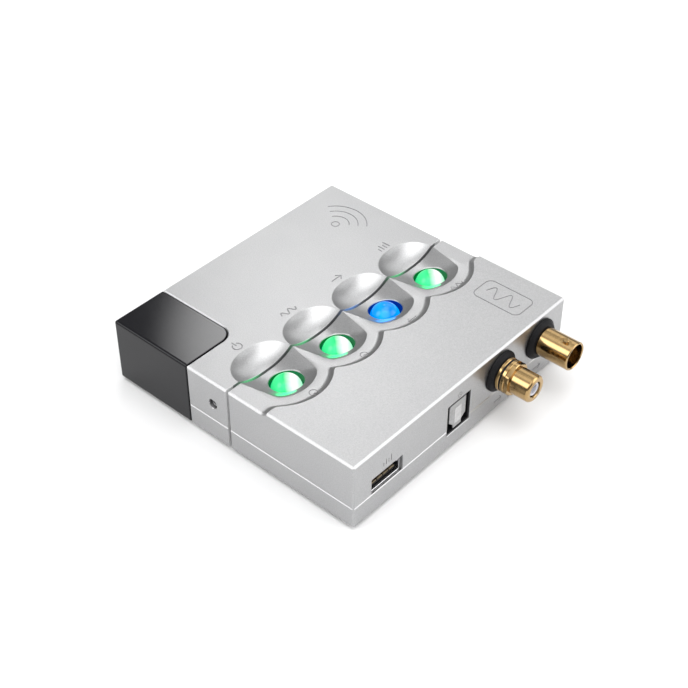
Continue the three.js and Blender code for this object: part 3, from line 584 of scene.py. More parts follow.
def ball_hole_tool(centre_x, centre_y):
    """The round hole under a ball, with its rim rounded where it meets the scoop's floor."""
    sides, rounding = 128, 0.28
    steps = [(rounding * (1 - math.cos(t)), rounding * math.sin(t) - rounding)
             for t in [math.radians(a) for a in (0, 20, 40, 60, 78)]]
    rings = [[(centre_x + ball_hole_radius * math.cos(2 * math.pi * i / sides),
               centre_y + ball_hole_radius * math.sin(2 * math.pi * i / sides), 0.0) for i in range(sides)]]
    for outwards, lift in [*steps, (rounding, 1.5)]:
        ring = []
        for i in range(sides):
            angle = 2 * math.pi * i / sides
            reach = ball_hole_radius + outwards
            x, y = centre_x + reach * math.cos(angle), centre_y + reach * math.sin(angle)
            ring.append((x, y, scoop_floor(output_rim, centre_y, x, y) + lift))
        rings.append(ring)
    return loft(rings)


def wave_height(rim, x, y):
    """Height of the top along a docking edge: a dip at each scoop."""
    return min(scoop_floor(rim, centre, x, y) for centre in scoop_y)


def spaced(start, stop, step):
    count = max(1, math.ceil(abs(stop - start) / step))
    return [start + (stop - start) * i / count for i in range(count + 1)]


def scallop(y):
    """How far from the docking plane the raised top begins."""
    arc_centre, arc_radius, shoulder, softness = 5.8, 15.9, 16.0, 0.55
    reaches = [shoulder]
    for centre in scoop_y:
        across = arc_radius**2 - (y - centre) ** 2
        reaches.append(arc_centre + math.sqrt(across) if across > 0 else 0.0)
    blend = sum(math.exp((reach - shoulder) / softness) for reach in reaches)
    return shoulder + softness * math.log(blend)


def cove_profile(y, share=1.0):
    """Points across the cove, from its toe on the low strip to its crisp upper edge or just past it."""
    edge, steps = dock_plane + scallop(y), 12
    points = []
    for i in range(steps + 1):
        run = cove_run * share * i / steps
        lift = cove_radius - math.sqrt(cove_radius**2 - run**2)
        points.append((edge - cove_run + run, y, strip_top + lift))
    return points


def strip_tool():
    """Lowers the strip beside the docking plane and leaves the scalloped cove."""
    rings = []
    for y in spaced(-half_width - 1, half_width + 1, 0.3):
        cove = cove_profile(y, 1.03)
        start = [(dock_plane - 3, y, output_top + 1), (dock_plane - 3, y, strip_top)]
        rings.append([*start, *cove, (cove[-1][0], y, output_top + 1)])
    return loft(rings)


def chamfer_tool(path, outward, rise=1, size=edge_chamfer):
    """The wedge that takes a 45 degree chamfer off an edge along a path; outward is horizontal."""
    over = 0.5
    out, up = Vector(outward), Vector((0, 0, rise))
    rings = []
    for point in path:
        corner = Vector(point)
        rings.append([
            corner + out * over - up * (size + over),
            corner + out * over + up * over,
            corner - out * (size + over) + up * over,
        ])
    return loft(rings)


def corner_bar(x, y, size):
    """The bar that chamfers an upright corner."""
    reach = size
    return stack(lambda grow: [(x - reach, y), (x, y - reach), (x + reach, y), (x, y + reach)],
                 [(-20, 0), (60, 0)])


FRONT, BACK, LEFT, RIGHT = (0, -1, 0), (0, 1, 0), (-1, 0, 0), (1, 0, 0)


def along_x(x0, x1, y, z):
    return [(x0 - 1, y, z), (x1 + 1, y, z)]


def along_y(x, z):
    return [(x, -half_width - 1, z), (x, half_width + 1, z)]


# ------------------------------------------------------------------ pictograms


def stroke(points, width, closed=False):
    """The outline of a line of even width through 2-D points, with round ends."""
    half = width / 2
    count = len(points)
    left, right = [], []
    for i, (u, v) in enumerate(points):
        before = points[(i - 1) % count] if closed or i else points[0]
        after = points[(i + 1) % count] if closed or i < count - 1 else points[-1]
        du, dv = after[0] - before[0], after[1] - before[1]
        length = math.hypot(du, dv) or 1.0
        nu, nv = -dv / length * half, du / length * half
        left.append((u + nu, v + nv))
        right.append((u - nu, v - nv))
    if closed:
        return left, right
    caps = []
    for tip, start in ((points[-1], right[-1]), (points[0], left[0])):
        first = math.atan2(start[1] - tip[1], start[0] - tip[0])
        turns = [first + math.pi * k / 6 for k in range(1, 6)]
        caps.append([(tip[0] + half * math.cos(t), tip[1] + half * math.sin(t)) for t in turns])
    return right + caps[0] + left[::-1] + caps[1], None


def groove(points, width, surface, depth, place, closed=False):
    """A cutter that engraves one line into a flat face; place maps (u, v, w) to a point."""
    outer, hole = stroke(points, width, closed)
    if hole is None:
        rings = [[place(u, v, surface + w) for u, v in outer] for w in (-depth, 1.0)]
        return loft(rings)
    count = len(outer)
    corners = [(outer, -depth), (outer, 1.0), (hole, 1.0), (hole, -depth)]
    rings = [[place(*ring[i], surface + w) for ring, w in corners] for i in range(count)]
    return loft(rings, closed=True)


def arc(centre, radius, start, stop, steps=16):
    turns = [math.radians(start + (stop - start) * i / steps) for i in range(steps + 1)]
    return [(centre[0] + radius * math.cos(t), centre[1] + radius * math.sin(t)) for t in turns]


def ring_points(centre, radius):
    return arc(centre, radius, 0, 360, 28)[:-1]


def standby_sign():
    return [(arc((0, 0), 1.15, 125, 415), False), ([(0, 0.35), (0, 1.75)], False)]


def arrow_sign():
    return [([(-1.7, 0), (1.5, 0)], False), ([(0.6, 0.9), (1.6, 0), (0.6, -0.9)], False)]


def bars_sign():
    return [([(u, -1.0), (u, h)], False) for u, h in ((-1.5, 0.0), (-0.5, 0.8), (0.5, 0.3), (1.5, 1.1))]


def wave_sign():
    points = [(u / 6, 0.8 * math.sin(u / 6 * math.pi / 1.15)) for u in range(-14, 15)]
    return [(points, False)]


def dot_sign():
    return [(ring_points((0, 0), 1.1), True), ([(-0.25, 0), (0.25, 0)], False)]


def radio_sign():
    """Three arcs over a ring: sound carried by radio."""
    lines = [(arc((0, 0), radius, 35, 145, 24), False) for radius in (3.4, 5.6, 7.8)]
    return [*lines, (ring_points((0, 0), 1.0), True)]


def level_sign():
    """A rounded frame with a wave across it."""
    frame_line = rounded(-6.5, 6.5, -3.6, 3.6, 1.6, 6)()
    wave = [(u / 4, 1.9 * math.sin(u / 4 * math.pi / 2.2)) for u in range(-18, 19)]
    return [(frame_line, True), (wave, False)]


def engraved(sign, place, surface, width=0.3, depth=0.12):
    """Cutters for every line of a sign, which leave the engraving material behind."""
    tools = []
    for points, closed in sign:
        tool = groove(points, width, surface, depth, place, closed)
        tool.materials.append(engraving)
        tools.append(tool)
    return tools


def on_top(x, y, turn=0.0, size=1.0):
    """Maps a sign drawn in (u, v) onto a level face, turned about its middle."""
    c, s = math.cos(math.radians(turn)) * size, math.sin(math.radians(turn)) * size
    return lambda u, v, w: (x + u * c - v * s, y + u * s + v * c, w)


def on_panel(y, z, size=1.0):
    """Maps a sign onto the connector panel, upright."""
    return lambda u, v, w: (w, y + u * size, z + v * size)


# ------------------------------------------------------------------ the two cases

above_seam = box((-10, case_length + 10), (-80, 80), (seam + seam_half, 80))
below_seam = box((-10, case_length + 10), (-80, 80), (-20, seam - seam_half))


def seam_chamfers(x0, x1, end_x, end_side, z, rise):
    """Small chamfers on both sides of the seam, which draw it as a fine bright line."""
    return [
        chamfer_tool(along_x(x0, x1, -half_width, z), FRONT, rise, seam_chamfer),
        chamfer_tool(along_x(x0, x1, half_width, z), BACK, rise, seam_chamfer),
        chamfer_tool(along_y(end_x, z), end_side, rise, seam_chamfer),
    ]


def antenna_outline(grow):
    """The antenna corner, running out past the case, with its one rounded corner inside."""
    x1, y1 = antenna_length + grow, -half_width + antenna_width + grow
    radius = antenna_corner + grow
    past = 3
    corner = [(x1 - radius + radius * math.cos(t), y1 - radius + radius * math.sin(t))
              for t in [math.pi / 2 * i / 20 for i in range(21)]]
    return [(-past, -half_width - past), (x1, -half_width - past), *corner, (-past, y1)]


def antenna_notch():
    """Room for the antenna cover, with its edges broken at the top, the bottom and the side."""
    gap, hair = cover_gap / 2, 0.3
    levels = [(stand - 1, gap + hair + 1), (stand + hair, gap), (strip_top - hair, gap),
              (strip_top + 1, gap + hair + 1)]
    notch = stack(antenna_outline, levels)
    side = corner_bar(antenna_length + gap, -half_width, 0.3)
    end = corner_bar(0, -half_width + antenna_width + gap, 0.3)
    return [notch, side, end]


def streamer_room(z0, z1, x1):
    """The inside of the streamer, which goes round the antenna corner."""
    notch_x, notch_y = antenna_length + wall, -half_width + antenna_width + wall
    points = [(notch_x, -inner), (x1, -inner), (x1, inner), (wall, inner), (wall, notch_y),
              (notch_x, notch_y)]
    return stack(lambda grow: points, [(z0, 0), (z1, 0)])


SIDES = ("streamer", "output")
screw_places = {side: [middle(f"{side}_screw_{i}").to_2d() for i in (1, 2, 3, 4)] for side in SIDES}
foot_places = {side: [middle(f"{side}_foot_{i}").to_2d() for i in (1, 2)] for side in SIDES}
lock_x = middle("lock_screw_front").x
lock_z = middle("lock_screw_front").z
lock_pin_y = middle("lock_pin_back").y
dock_z = middle("dock_socket").z


def far_cut(outline):
    """A cut through the far wall, with its mouth broken."""
    return stack(outline, [(-1, 1.15), (0.15, 0), (wall + 1, 0)], "x")


def port_window(node, corner=0.3):
    """A cut through the far wall round a port."""
    a, b, slack = low(node), high(node), 0.3
    return far_cut(rounded(a.y - slack, b.y + slack, a.z - slack, b.z + slack, corner, 4))


def dock_window(x0, x1):
    """The slot in a docking face for the multi-pin socket."""
    half_long, half_high = 8.8, 3.3
    return box((x0, x1), (-half_long, half_long), (dock_z - half_high, dock_z + half_high))


def panel_cut(outline):
    """A cut through the connector panel with a fine chamfer at its mouth."""
    hair = 0.15
    levels = [(case_length - wall - 1, 0), (case_length - hair, 0), (case_length + 1, hair + 1)]
    return stack(outline, levels, "x")


def bosses(places, z0, z1):
    return [rod(boss_radius, z0, z1, place, 32) for place in places]


def round_hole(radius, y0, centre, face_y):
    """A hole along Y through a long side, its mouth lightly countersunk."""
    hair = 0.18
    outwards = 1 if face_y > 0 else -1
    levels = [(y0, 0), (face_y - outwards * hair, 0), (face_y + outwards, hair + 1)]
    return stack(circle(radius, centre, 64), levels, "y")


def docking_relief(x0, x1):
    """Skims a docking face. Its ends take a pale copy of the metal as painted light, and its middle a dark
    copy as painted shade of the deep gap.
    """
    edge = half_width - 3.2
    tools = []
    for y, painted_tone in (((-edge, edge), painted_shade_dock_metal), ((-60, -edge), painted_light_joint_metal), ((edge, 60), painted_light_joint_metal)):
        tool = box((x0, x1), y, (-20, 60))
        tool.materials.append(painted_tone)
        tools.append(tool)
    return tools


def streamer_case():
    """The streamer's block, before it is split at the seam and hollowed."""
    block = box((0, streamer_length), (-half_width, half_width), (stand, strip_top))
    edges = []
    for z, rise in ((strip_top, 1), (stand, -1)):
        edges.append(chamfer_tool(along_x(0, streamer_length, -half_width, z), FRONT, rise))
        edges.append(chamfer_tool(along_x(0, streamer_length, half_width, z), BACK, rise))
        edges.append(chamfer_tool(along_y(0, z), LEFT, rise))
    for y in (-half_width, half_width):
        edges.append(corner_bar(0, y, edge_chamfer))
        edges.append(corner_bar(streamer_length, y, joint_chamfer))
    return combine(block, edges)


def streamer_upper(block):
    ceiling, low_ceiling = strip_top - wall, strip_top - scoop_depth - 1.6
    thin_end = dock_plane - thumb_reach - 1.2
    places = screw_places["streamer"]
    shell = combine(block.copy(), [above_seam.copy()], "INTERSECT")
    seam_line = seam_chamfers(0, streamer_length, 0, LEFT, seam + seam_half, -1)
    shell = combine(shell, [
        *seam_line,
        *antenna_notch(),
        streamer_room(0, ceiling, thin_end),
        streamer_room(0, low_ceiling, streamer_length - wall),
    ])
    lock_block_y = 38.5
    blocks = [box((thin_end, streamer_length - 1), sorted((side * lock_block_y, side * (inner + 0.5))),
                  (lock_z - 4, low_ceiling + 0.5)) for side in (-1, 1)]
    shell = combine(shell, [*bosses(places, seam + seam_half, ceiling + 0.5), *blocks], "UNION")
    dock_edge = [(streamer_length, y, wave_height(thumb_rim, streamer_length, y))
                 for y in spaced(-half_width - 1, half_width + 1, 0.25)]
    tools = [scoop_tool(thumb_rim, y) for y in scoop_y]
    tools.append(chamfer_tool(dock_edge, RIGHT, 1, hair_chamfer))
    tools += docking_relief(streamer_length - joint_relief, 99)
    tools += [rod(screw_bore, seam - 1, seam + 6, place, 24) for place in places]
    for side in (-1, 1):
        tools.append(rod_x(lock_pin_bore, thin_end + 1, streamer_length + 1, (side * lock_pin_y, lock_z), 32))
        tools.append(round_hole(1.6, side * (lock_pin_y + 1), (lock_x, lock_z), side * half_width))
    tools.append(port_window("ethernet_jack"))
    tools.append(port_window("charge_port", corner=1.2))
    for node in ("card_socket_near", "card_socket_far"):
        y, z = middle(node).y, low(node).z + 1.1
        tools.append(far_cut(rounded(y - 6, y + 6, z - 0.9, z + 0.9, 0.4, 4)))
    button = middle("setup_button")
    tools.append(far_cut(circle(1.8, (button.y, button.z), 48)))
    tools.append(dock_window(streamer_length - wall - 1, streamer_length + 1))
    tools.append(box((antenna_length - 6, antenna_length - 1),
                     (-half_width + antenna_width - 1, -half_width + antenna_width + wall + 1), cable_door_z))
    for sign, y in zip((standby_sign(), wave_sign(), arrow_sign(), bars_sign()), scoop_y):
        tools += engraved(sign, on_top(dock_plane - 11.9, y, 90, 1.3), strip_top, 0.34)
    tools += engraved(radio_sign(), on_top(17.0, 33.0, 0, 1.35), strip_top, 0.26)
    return combine(shell, tools)


def bottom_tray(side, block, hollows, post_top, board_posts, tools):
    """The tray below the seam, with bosses for its screws and posts for the board."""
    tray = combine(block.copy(), [below_seam.copy()], "INTERSECT")
    tray = combine(tray, hollows)
    posts = bosses(screw_places[side], tray_floor - 0.5, seam - seam_half)
    posts += [rod(1.8, tray_floor - 0.5, post_top, place, 20) for place in board_posts]
    return combine(combine(tray, posts, "UNION"), [*underside_holes(side), *tools])


def streamer_bottom(block):
    hollows = [
        *seam_chamfers(0, streamer_length, 0, LEFT, seam - seam_half, 1),
        *antenna_notch(),
        streamer_room(tray_floor, 60, streamer_length - wall),
    ]
    return bottom_tray("streamer", block, hollows, 7.3, ((20, 40), (30, -23.5), (5, 8)),
                       docking_relief(streamer_length - joint_relief, 99))


def underside_holes(side):
    """Screw counterbores and foot recesses, each with a broken edge."""
    tools = []
    for place in screw_places[side]:
        tools.append(rod(screw_bore, -1, seam + 1, place, 32))
        tools.append(stack(circle(2.6, place, 48), [(stand - 1, 1.12), (stand + 0.12, 0), (stand + 1.9, 0)]))
    for place in foot_places[side]:
        tools.append(stack(circle(4.8, place, 64), [(stand - 1, 1.12), (stand + 0.12, 0), (stand + 0.8, 0)]))
    return tools


def output_case():
    """The output module's block, before it is split at the seam and hollowed."""
    block = box((output_start, case_length), (-half_width, half_width), (stand, output_top))
    block = combine(block, [strip_tool()])
    edges = []
    for y, outward in ((-half_width, FRONT), (half_width, BACK)):
        path = [(output_start - 1, y, strip_top), *cove_profile(y), (case_length + 1, y, output_top)]
        edges.append(chamfer_tool(path, outward))
        edges.append(chamfer_tool(along_x(output_start, case_length, y, stand), outward, -1))
        edges.append(corner_bar(case_length, y, edge_chamfer))
        edges.append(corner_bar(output_start, y, joint_chamfer))
    edges.append(chamfer_tool(along_y(case_length, output_top), RIGHT))
    edges.append(chamfer_tool(along_y(case_length, stand), RIGHT, -1))
    return combine(block, edges)


socket_z = middle("rca_body").z
rca_y = middle("rca_body").y
bnc_y = middle("bnc_washer").y
usb_y = middle("usb_shell").y
optical_y = middle("optical_housing").y
optical_z = middle("optical_housing").z
usb_half = 6.7
optical_half_y = 5.45
optical_half_z = 5.8


def optical_outline(grow):
    return rounded(optical_y - optical_half_y, optical_y + optical_half_y,
                   optical_z - optical_half_z, optical_z + optical_half_z, 0.25, 3)(grow)


def output_upper(block):
    low_ceiling, high_ceiling = strip_top - scoop_depth - 1.6, output_top - wall
    places = screw_places["output"]
    shell = combine(block.copy(), [above_seam.copy()], "INTERSECT")
    shell = combine(shell, [
        *seam_chamfers(output_start, case_length, case_length, RIGHT, seam + seam_half, -1),
        box((output_start + dock_wall, case_length - wall), (-inner, inner), (0, low_ceiling)),
        box((dock_plane + 23.5, case_length - wall), (-inner, inner), (0, high_ceiling)),
    ])
    shell = combine(shell, bosses(places, seam + seam_half, high_ceiling + 0.5), "UNION")
    dock_edge = [(output_start, y, wave_height(output_rim, output_start, y))
                 for y in spaced(-half_width - 1, half_width + 1, 0.25)]
    tools = [scoop_tool(output_rim, y) for y in scoop_y]
    for number, y in zip(BUTTONS, scoop_y):
        hole = ball_hole_tool(middle(f"button_ball_{number}").x, y)
        # The hole's upright wall takes the tinted copy of the metal: painted coloured light from the ball.
        hole.materials.append(painted_blue_glow_wall if number == BLUE_BUTTON else painted_green_glow_wall)
        hole.materials.append(aluminium)
        for face in hole.polygons:
            face.material_index = 0 if abs(face.normal.z) < 0.01 else 1
        tools.append(hole)
    tools.append(chamfer_tool(dock_edge, LEFT, 1, hair_chamfer))
    tools += docking_relief(40, output_start + joint_relief)
    tools += [rod(screw_bore, seam - 1, seam + 6, place, 24) for place in places]
    tools.append(panel_cut(optical_outline))
    usb_outline = rounded(usb_y - usb_half, usb_y + usb_half, seam - 1, high("usb_shell").z + 0.2, 0.2, 3)
    usb_hole = panel_cut(usb_outline)
    # The opening's walls take the dark copy of the docking metal, as painted shade.
    usb_hole.materials.append(painted_shade_dock_metal)
    tools.append(usb_hole)
    for y in (rca_y, bnc_y):
        tools.append(rod_x(4.9, case_length - wall - 1, case_length + 1, (y, socket_z)))
    tools.append(dock_window(output_start - 1, output_start + wall + 1))
    for side in (-1, 1):
        tools.append(rod_x(lock_pin_bore, output_start - 1, output_start + wall + 1,
                           (side * lock_pin_y, lock_z), 32))
    for sign, y in zip((standby_sign(), dot_sign(), arrow_sign(), wave_sign()), scoop_y):
        tools += engraved(sign, on_top(dock_plane + 19.1, y, -90, 1.1), strip_top, 0.3, 0.1)
    tools += engraved(level_sign(), on_top(83.5, 37.0, 0, 1.35), output_top, 0.26)
    panel_signs = [(dot_sign(), on_panel(optical_y, 20.0, 0.8)), (bars_sign(), on_panel(usb_y, 17.6, 1.1))]
    for sign, place in panel_signs:
        tools += engraved(sign, place, case_length, 0.26, 0.1)
    return combine(shell, tools)


def output_bottom(block):
    hollows = [
        *seam_chamfers(output_start, case_length, case_length, RIGHT, seam - seam_half, 1),
        box((output_start + dock_wall, case_length - wall), (-inner, inner), (tray_floor, 60)),
    ]
    tools = [panel_cut(optical_outline), *docking_relief(40, output_start + joint_relief)]
    for y in (rca_y, bnc_y):
        tools += engraved(arrow_sign(), on_panel(y + 0.4, 4.4, 1.1), case_length, 0.3, 0.1)
    return bottom_tray("output", block, hollows, 6.6, ((70, 40), (70, -40), (60, 0)), tools)


streamer_block = streamer_case()
CASE_LOOKS = [aluminium, engraving, painted_shade_dock_metal, painted_light_joint_metal, painted_green_glow_wall, painted_blue_glow_wall]
piece("streamer_upper_shell", streamer_upper(streamer_block), CASE_LOOKS)
piece("streamer_bottom_cover", streamer_bottom(streamer_block), CASE_LOOKS)
output_block = output_case()
piece("output_upper_shell", output_upper(output_block), CASE_LOOKS)
piece("output_bottom_cover", output_bottom(output_block), CASE_LOOKS)


def antenna_cover():
    """The glossy corner cap, with every outside edge rounded."""
    x1, y1 = antenna_length - cover_gap / 2, -half_width + antenna_width - cover_gap / 2
    radius = antenna_corner - cover_gap / 2

    def outline(grow):
        steps = 16
        seated = grow * 0.3
        left, bottom, right, top = -grow, -half_width - grow, x1 + seated, y1 + seated
        corners = [(left, bottom, 1, 1, 2, 0.8 + grow), (right, bottom, -1, 1, 3, 0.35 + seated),
                   (right, top, -1, -1, 0, radius + seated), (left, top, 1, -1, 1, 0.35 + seated)]
        points = []
        for u, v, inwards_u, inwards_v, quarter, reach in corners:
            reach = max(reach, 0.04)
            for i in range(steps + 1):
                angle = (quarter + i / steps) * math.pi / 2
                points.append((u + inwards_u * reach + reach * math.cos(angle),
                               v + inwards_v * reach + reach * math.sin(angle)))
        return points

    rounding = 0.9
    turns = [math.radians(a) for a in range(0, 91, 10)]
    bends = [(rounding * (math.sin(t) - 1), rounding * (math.cos(t) - 1)) for t in turns]
    rise = [(strip_top + lift, grow) for lift, grow in bends]
    fall = [(stand - lift, grow) for lift, grow in reversed(bends)]
    cover = stack(outline, [*fall, *rise])
    skin = 1.6
    inside = antenna_width - half_width
    hollow = box((skin, antenna_length - 2 * skin), (-half_width + skin, inside - 2 * skin),
                 (stand + skin, strip_top - skin))
    doorway = box((antenna_length - 12, antenna_length - 7), (inside - 2 * skin - 1, inside + 1),
                  cable_door_z)
    cover = combine(cover, [hollow, doorway])
    posts = [rod(1.4, stand + 1, 12.9, place, 20) for place in ((7, -45.5), (7, -36), (26, -45.5), (26, -36))]
    return combine(cover, posts, "UNION")


piece("antenna_cover", antenna_cover())

# ------------------------------------------------------------------ buttons


def ball(number):
    node = f"button_ball_{number}"
    radius = (high(node).x - low(node).x) / 2
    turns = [math.pi * i / 48 for i in range(1, 48)]
    profile = [(0, -radius), *((radius * math.sin(t), -radius * math.cos(t)) for t in turns), (0, radius)]
    return lathe(profile, middle(node), "z", 96)


def cup(number):
    """The clear cup that guides a ball, with a rolled lip."""
    node = f"button_cup_{number}"
    a, b = low(node), high(node)
    centre = middle(node)
    ball_radius, lip_drop, steps = 4.85, 0.2, 16
    ball_z = b.z + lip_drop
    seat = ball_radius + ball_clearance
    rim_angle = math.asin(-lip_drop / seat)
    arc_points = []
    for i in range(steps + 1):
        angle = rim_angle + (-math.pi / 2 - rim_angle) * i / steps
        arc_points.append((0 if i == steps else seat * math.cos(angle), ball_z + seat * math.sin(angle)))
    profile = [(0, a.z), (2.6, a.z), (2.6, a.z + 0.8), (5.9, b.z - 2.4), (5.9, b.z - 0.15), (5.75, b.z),
               *arc_points]
    return lathe(profile, (centre.x, centre.y, 0), "z", 96)


for number in BUTTONS:
    blue = number == BLUE_BUTTON
    piece(f"button_ball_{number}", ball(number), ball_blue if blue else ball_green)
    piece(f"button_cup_{number}", cup(number), cup_blue if blue else cup_green)

# ------------------------------------------------------------------ connectors


def turned(profile, y, sides):
    """A part of a coaxial socket, turned about its axis; heights count from the panel."""
    return lathe(profile, (case_length, y, socket_z), "x", sides)


def rca_body():
    """Turned shell of the phono socket: two rings, a hexagon and a chamfered barrel."""
    back, stem = -10, 4.0
    profile = [
        (0, back), (stem, back), (stem, 2.2), (5.35, 2.2), (5.5, 2.35), (5.5, 3.05), (5.35, 3.2), (4.9, 3.2),
        (4.9, 3.8), (5.35, 3.8), (5.5, 3.95), (5.5, 4.85), (5.35, 5.0), (4.45, 5.0), (4.45, 12.55),
        (4.3, 12.8), (3.95, 13.15), (3.8, 13.2), (2.75, 13.2), (2.6, 13.05), (2.6, 1.0), (0, 1.0),
    ]
    body = turned(profile, rca_y, 128)
    flange = stack(circle(5.9, (rca_y, socket_z), 6, math.pi / 6),
                   [(case_length + 4.95, 0), (case_length + 6.45, 0)], "x")
    dome = turned([(0, 4.9), (5.3, 4.9), (5.5, 5.05), (5.5, 6.2), (5.2, 6.5), (0, 6.5)], rca_y, 96)
    flange = combine(flange, [dome], "INTERSECT")
    flange = combine(flange, [rod_x(2.6, case_length + 1, case_length + 14, (rca_y, socket_z), 128)])
    return combine(body, [flange], "UNION")


def rca_insulator():
    profile = [(1.65, 1.3), (2.3, 1.3), (2.3, 12.5), (2.15, 12.7), (1.8, 12.7), (1.65, 12.5)]
    return turned(profile, rca_y, 64)


def bnc_body():
    """Turned shell of the bayonet socket, with two lug pins on round flats."""
    outer, bore, reach = 4.8, 4.05, high("bnc_body").x - case_length
    stem, back = 4.0, -10
    profile = [
        (0, back), (stem, back), (stem, 2.2), (outer - 0.1, 2.2), (outer, 2.3), (outer, reach - 0.3),
        (outer - 0.1, reach - 0.12), (outer - 0.25, reach), (bore + 0.2, reach), (bore, reach - 0.2),
        (bore, 4), (0, 4),
    ]
    body = turned(profile, bnc_y, 144)
    lugs, flats = [], []
    along = case_length + 10.1
    for turn in (0, math.pi):
        lean = Matrix.Translation((along, bnc_y, socket_z)) @ Matrix.Rotation(math.radians(10) + turn, 4, "X")
        pin = lathe([(0, 4.2), (0.95, 4.2), (0.95, 5.42), (0.8, 5.6), (0, 5.6)], (0, 0, 0), "z", 40)
        pin.transform(lean)
        flat = stack(circle(1.75, (0, 0), 48), [(4.68, 0), (6, 0.2)])
        flat.transform(lean)
        lugs.append(pin)
        flats.append(flat)
    return combine(combine(body, flats), lugs, "UNION")


def bnc_insulator():
    profile = [(0.95, 4.3), (2.4, 4.3), (2.4, 6.6), (2.2, 6.8), (1.1, 6.8), (0.95, 6.65)]
    return turned(profile, bnc_y, 64)


def bnc_contact():
    return turned([(0, 4.4), (0.6, 4.4), (0.6, 6.4), (0.5, 6.6), (0.3, 6.7), (0, 6.7)], bnc_y, 32)


def washer(y):
    profile = [(4.3, 0.15), (6.8, 0.15), (6.9, 0.25), (6.9, 0.6), (6.85, 0.75), (5.85, 1.75), (5.65, 1.9),
               (4.3, 1.9)]
    return turned(profile, y, 112)


def nut(y):
    """Hexagon nut behind the panel, with its corners turned off."""
    x0, x1 = low("rca_nut").x, high("rca_nut").x
    body = stack(circle(6.6, (y, socket_z), 6), [(x0, 0), (x1, 0)], "x")
    dome = lathe([(0, x0), (6.1, x0), (6.6, x0 + 0.3), (6.6, x1 - 0.3), (6.1, x1), (0, x1)],
                 (0, y, socket_z), "x", 64)
    return combine(combine(body, [dome], "INTERSECT"), [rod_x(4.3, x0 - 1, x1 + 1, (y, socket_z))])


piece("rca_body", rca_body())
seal_profile = [(4.4, 3.12), (5.3, 3.12), (5.35, 3.2), (5.35, 3.8), (5.3, 3.88), (4.4, 3.88)]
extra("rca_seal", turned(seal_profile, rca_y, 96), washer_black)
piece("rca_insulator", rca_insulator())
piece("rca_washer", washer(rca_y))
piece("rca_nut", nut(rca_y))
piece("bnc_body", bnc_body())
piece("bnc_insulator", bnc_insulator())
piece("bnc_contact", bnc_contact())
piece("bnc_washer", washer(bnc_y))
piece("bnc_nut", nut(bnc_y))


usb_front = high("usb_shell").x


def usb_shell():
    """Folded sheet-metal shell of the type A socket, with its pressed springs."""
    a, b = low("usb_shell"), high("usb_shell")
    skin = 0.35
    outer = rounded(a.y, b.y, a.z, b.z, 0.4, 4)
    shell = stack(outer, [(a.x, 0), (usb_front - 0.1, 0), (usb_front, -0.08)], "x")
    bore = rounded(a.y + skin, b.y - skin, a.z + skin, b.z - skin, 0.2, 4)
    shell = combine(shell, [stack(bore, [(a.x + 1, 0), (usb_front - 0.1, 0), (usb_front + 1, 1.1)], "x")])
    springs = [spring(usb_y, b.z - skin, -1, "z", 1.8)]
    for y, inwards in ((a.y + skin, 1), (b.y - skin, -1)):
        springs.append(spring((a.z + b.z) / 2 + 1.2, y, inwards, "y"))
    return combine(shell, springs, "UNION")


def spring(across, wall_at, inwards, axis, lift=0.8):
    """A leaf spring pressed out of the shell: it dips inwards and comes back to the wall."""
    length, half, thick = 4.6, 0.85, 0.16
    rows = []
    for i in range(17):
        share = i / 16
        x = usb_front - 0.5 - length * share
        dip = lift * math.sin(math.pi * share) ** 0.8 * inwards
        near, far = wall_at + dip + thick * inwards, wall_at + dip * 0.2 - 0.1 * inwards
        if axis == "z":
            rows.append([(x, across - half, near), (x, across + half, near), (x, across + half, far),
                         (x, across - half, far)])
        else:
            rows.append([(x, near, across - half), (x, near, across + half), (x, far, across + half),
                         (x, far, across - half)])
    return loft(rows)


tongue_front = high("usb_tongue").x - 0.12
tongue_top = low("usb_tongue").z + 1.3


def usb_tongue():
    a, b = low("usb_tongue"), high("usb_tongue")
    root = stack(rounded(a.y, b.y, a.z, b.z, 0.2, 3), [(a.x, 0), (a.x + 3.2, 0)], "x")
    tongue = stack(rounded(usb_y - 5.6, usb_y + 5.6, tongue_top - 1.3, tongue_top, 0.15, 3),
                   [(a.x + 3, 0), (tongue_front - 0.2, 0), (tongue_front, -0.13)], "x")
    return combine(root, [tongue], "UNION")


def usb_contacts():
    """Four flat contacts on top of the tongue, folded down over its front edge."""
    strips = []
    for y in (-3.9, -1.3, 1.3, 3.9):
        outline = rounded(tongue_front - 8, tongue_front + 0.12, usb_y + y - 1.1, usb_y + y + 1.1, 0.1, 3)
        levels = [(tongue_top - 0.3, 0), (tongue_top + 0.12, 0), (tongue_top + 0.18, -0.06)]
        strips.append(stack(outline, levels))
    return joined(strips)


piece("usb_shell", usb_shell())
piece("usb_tongue", usb_tongue(), dark_plastic)
extra("usb_contacts", usb_contacts(), dull_brass)


def optical_housing():
    """Moulded housing with a stepped bezel and a deep chamber behind the door."""
    a, b = low("optical_housing"), high("optical_housing")
    door_a, door_b = low("optical_door"), high("optical_door")
    body = stack(rounded(a.y, b.y, a.z, b.z, 0.3, 4), [(a.x, 0), (b.x - 0.12, 0), (b.x, -0.12)], "x")
    room = rounded(door_a.y - 0.6, door_b.y + 0.6, door_a.z - 0.7, door_b.z + 0.6, 0.15, 3)
    chamber = stack(room, [(a.x + 3, 0), (b.x - 0.15, 0), (b.x + 1, 1.15)], "x")
    lens = lathe([(0, a.x + 2), (1.2, a.x + 2), (1.2, a.x + 3.6), (1.0, a.x + 3.8), (0, a.x + 3.8)],
                 (0, optical_y, (door_a.z + door_b.z) / 2), "x", 40)
    return combine(combine(body, [chamber]), [lens], "UNION")


door_front = case_length - 0.3
door_left, door_right = optical_y - 4.1, optical_y + 3.6


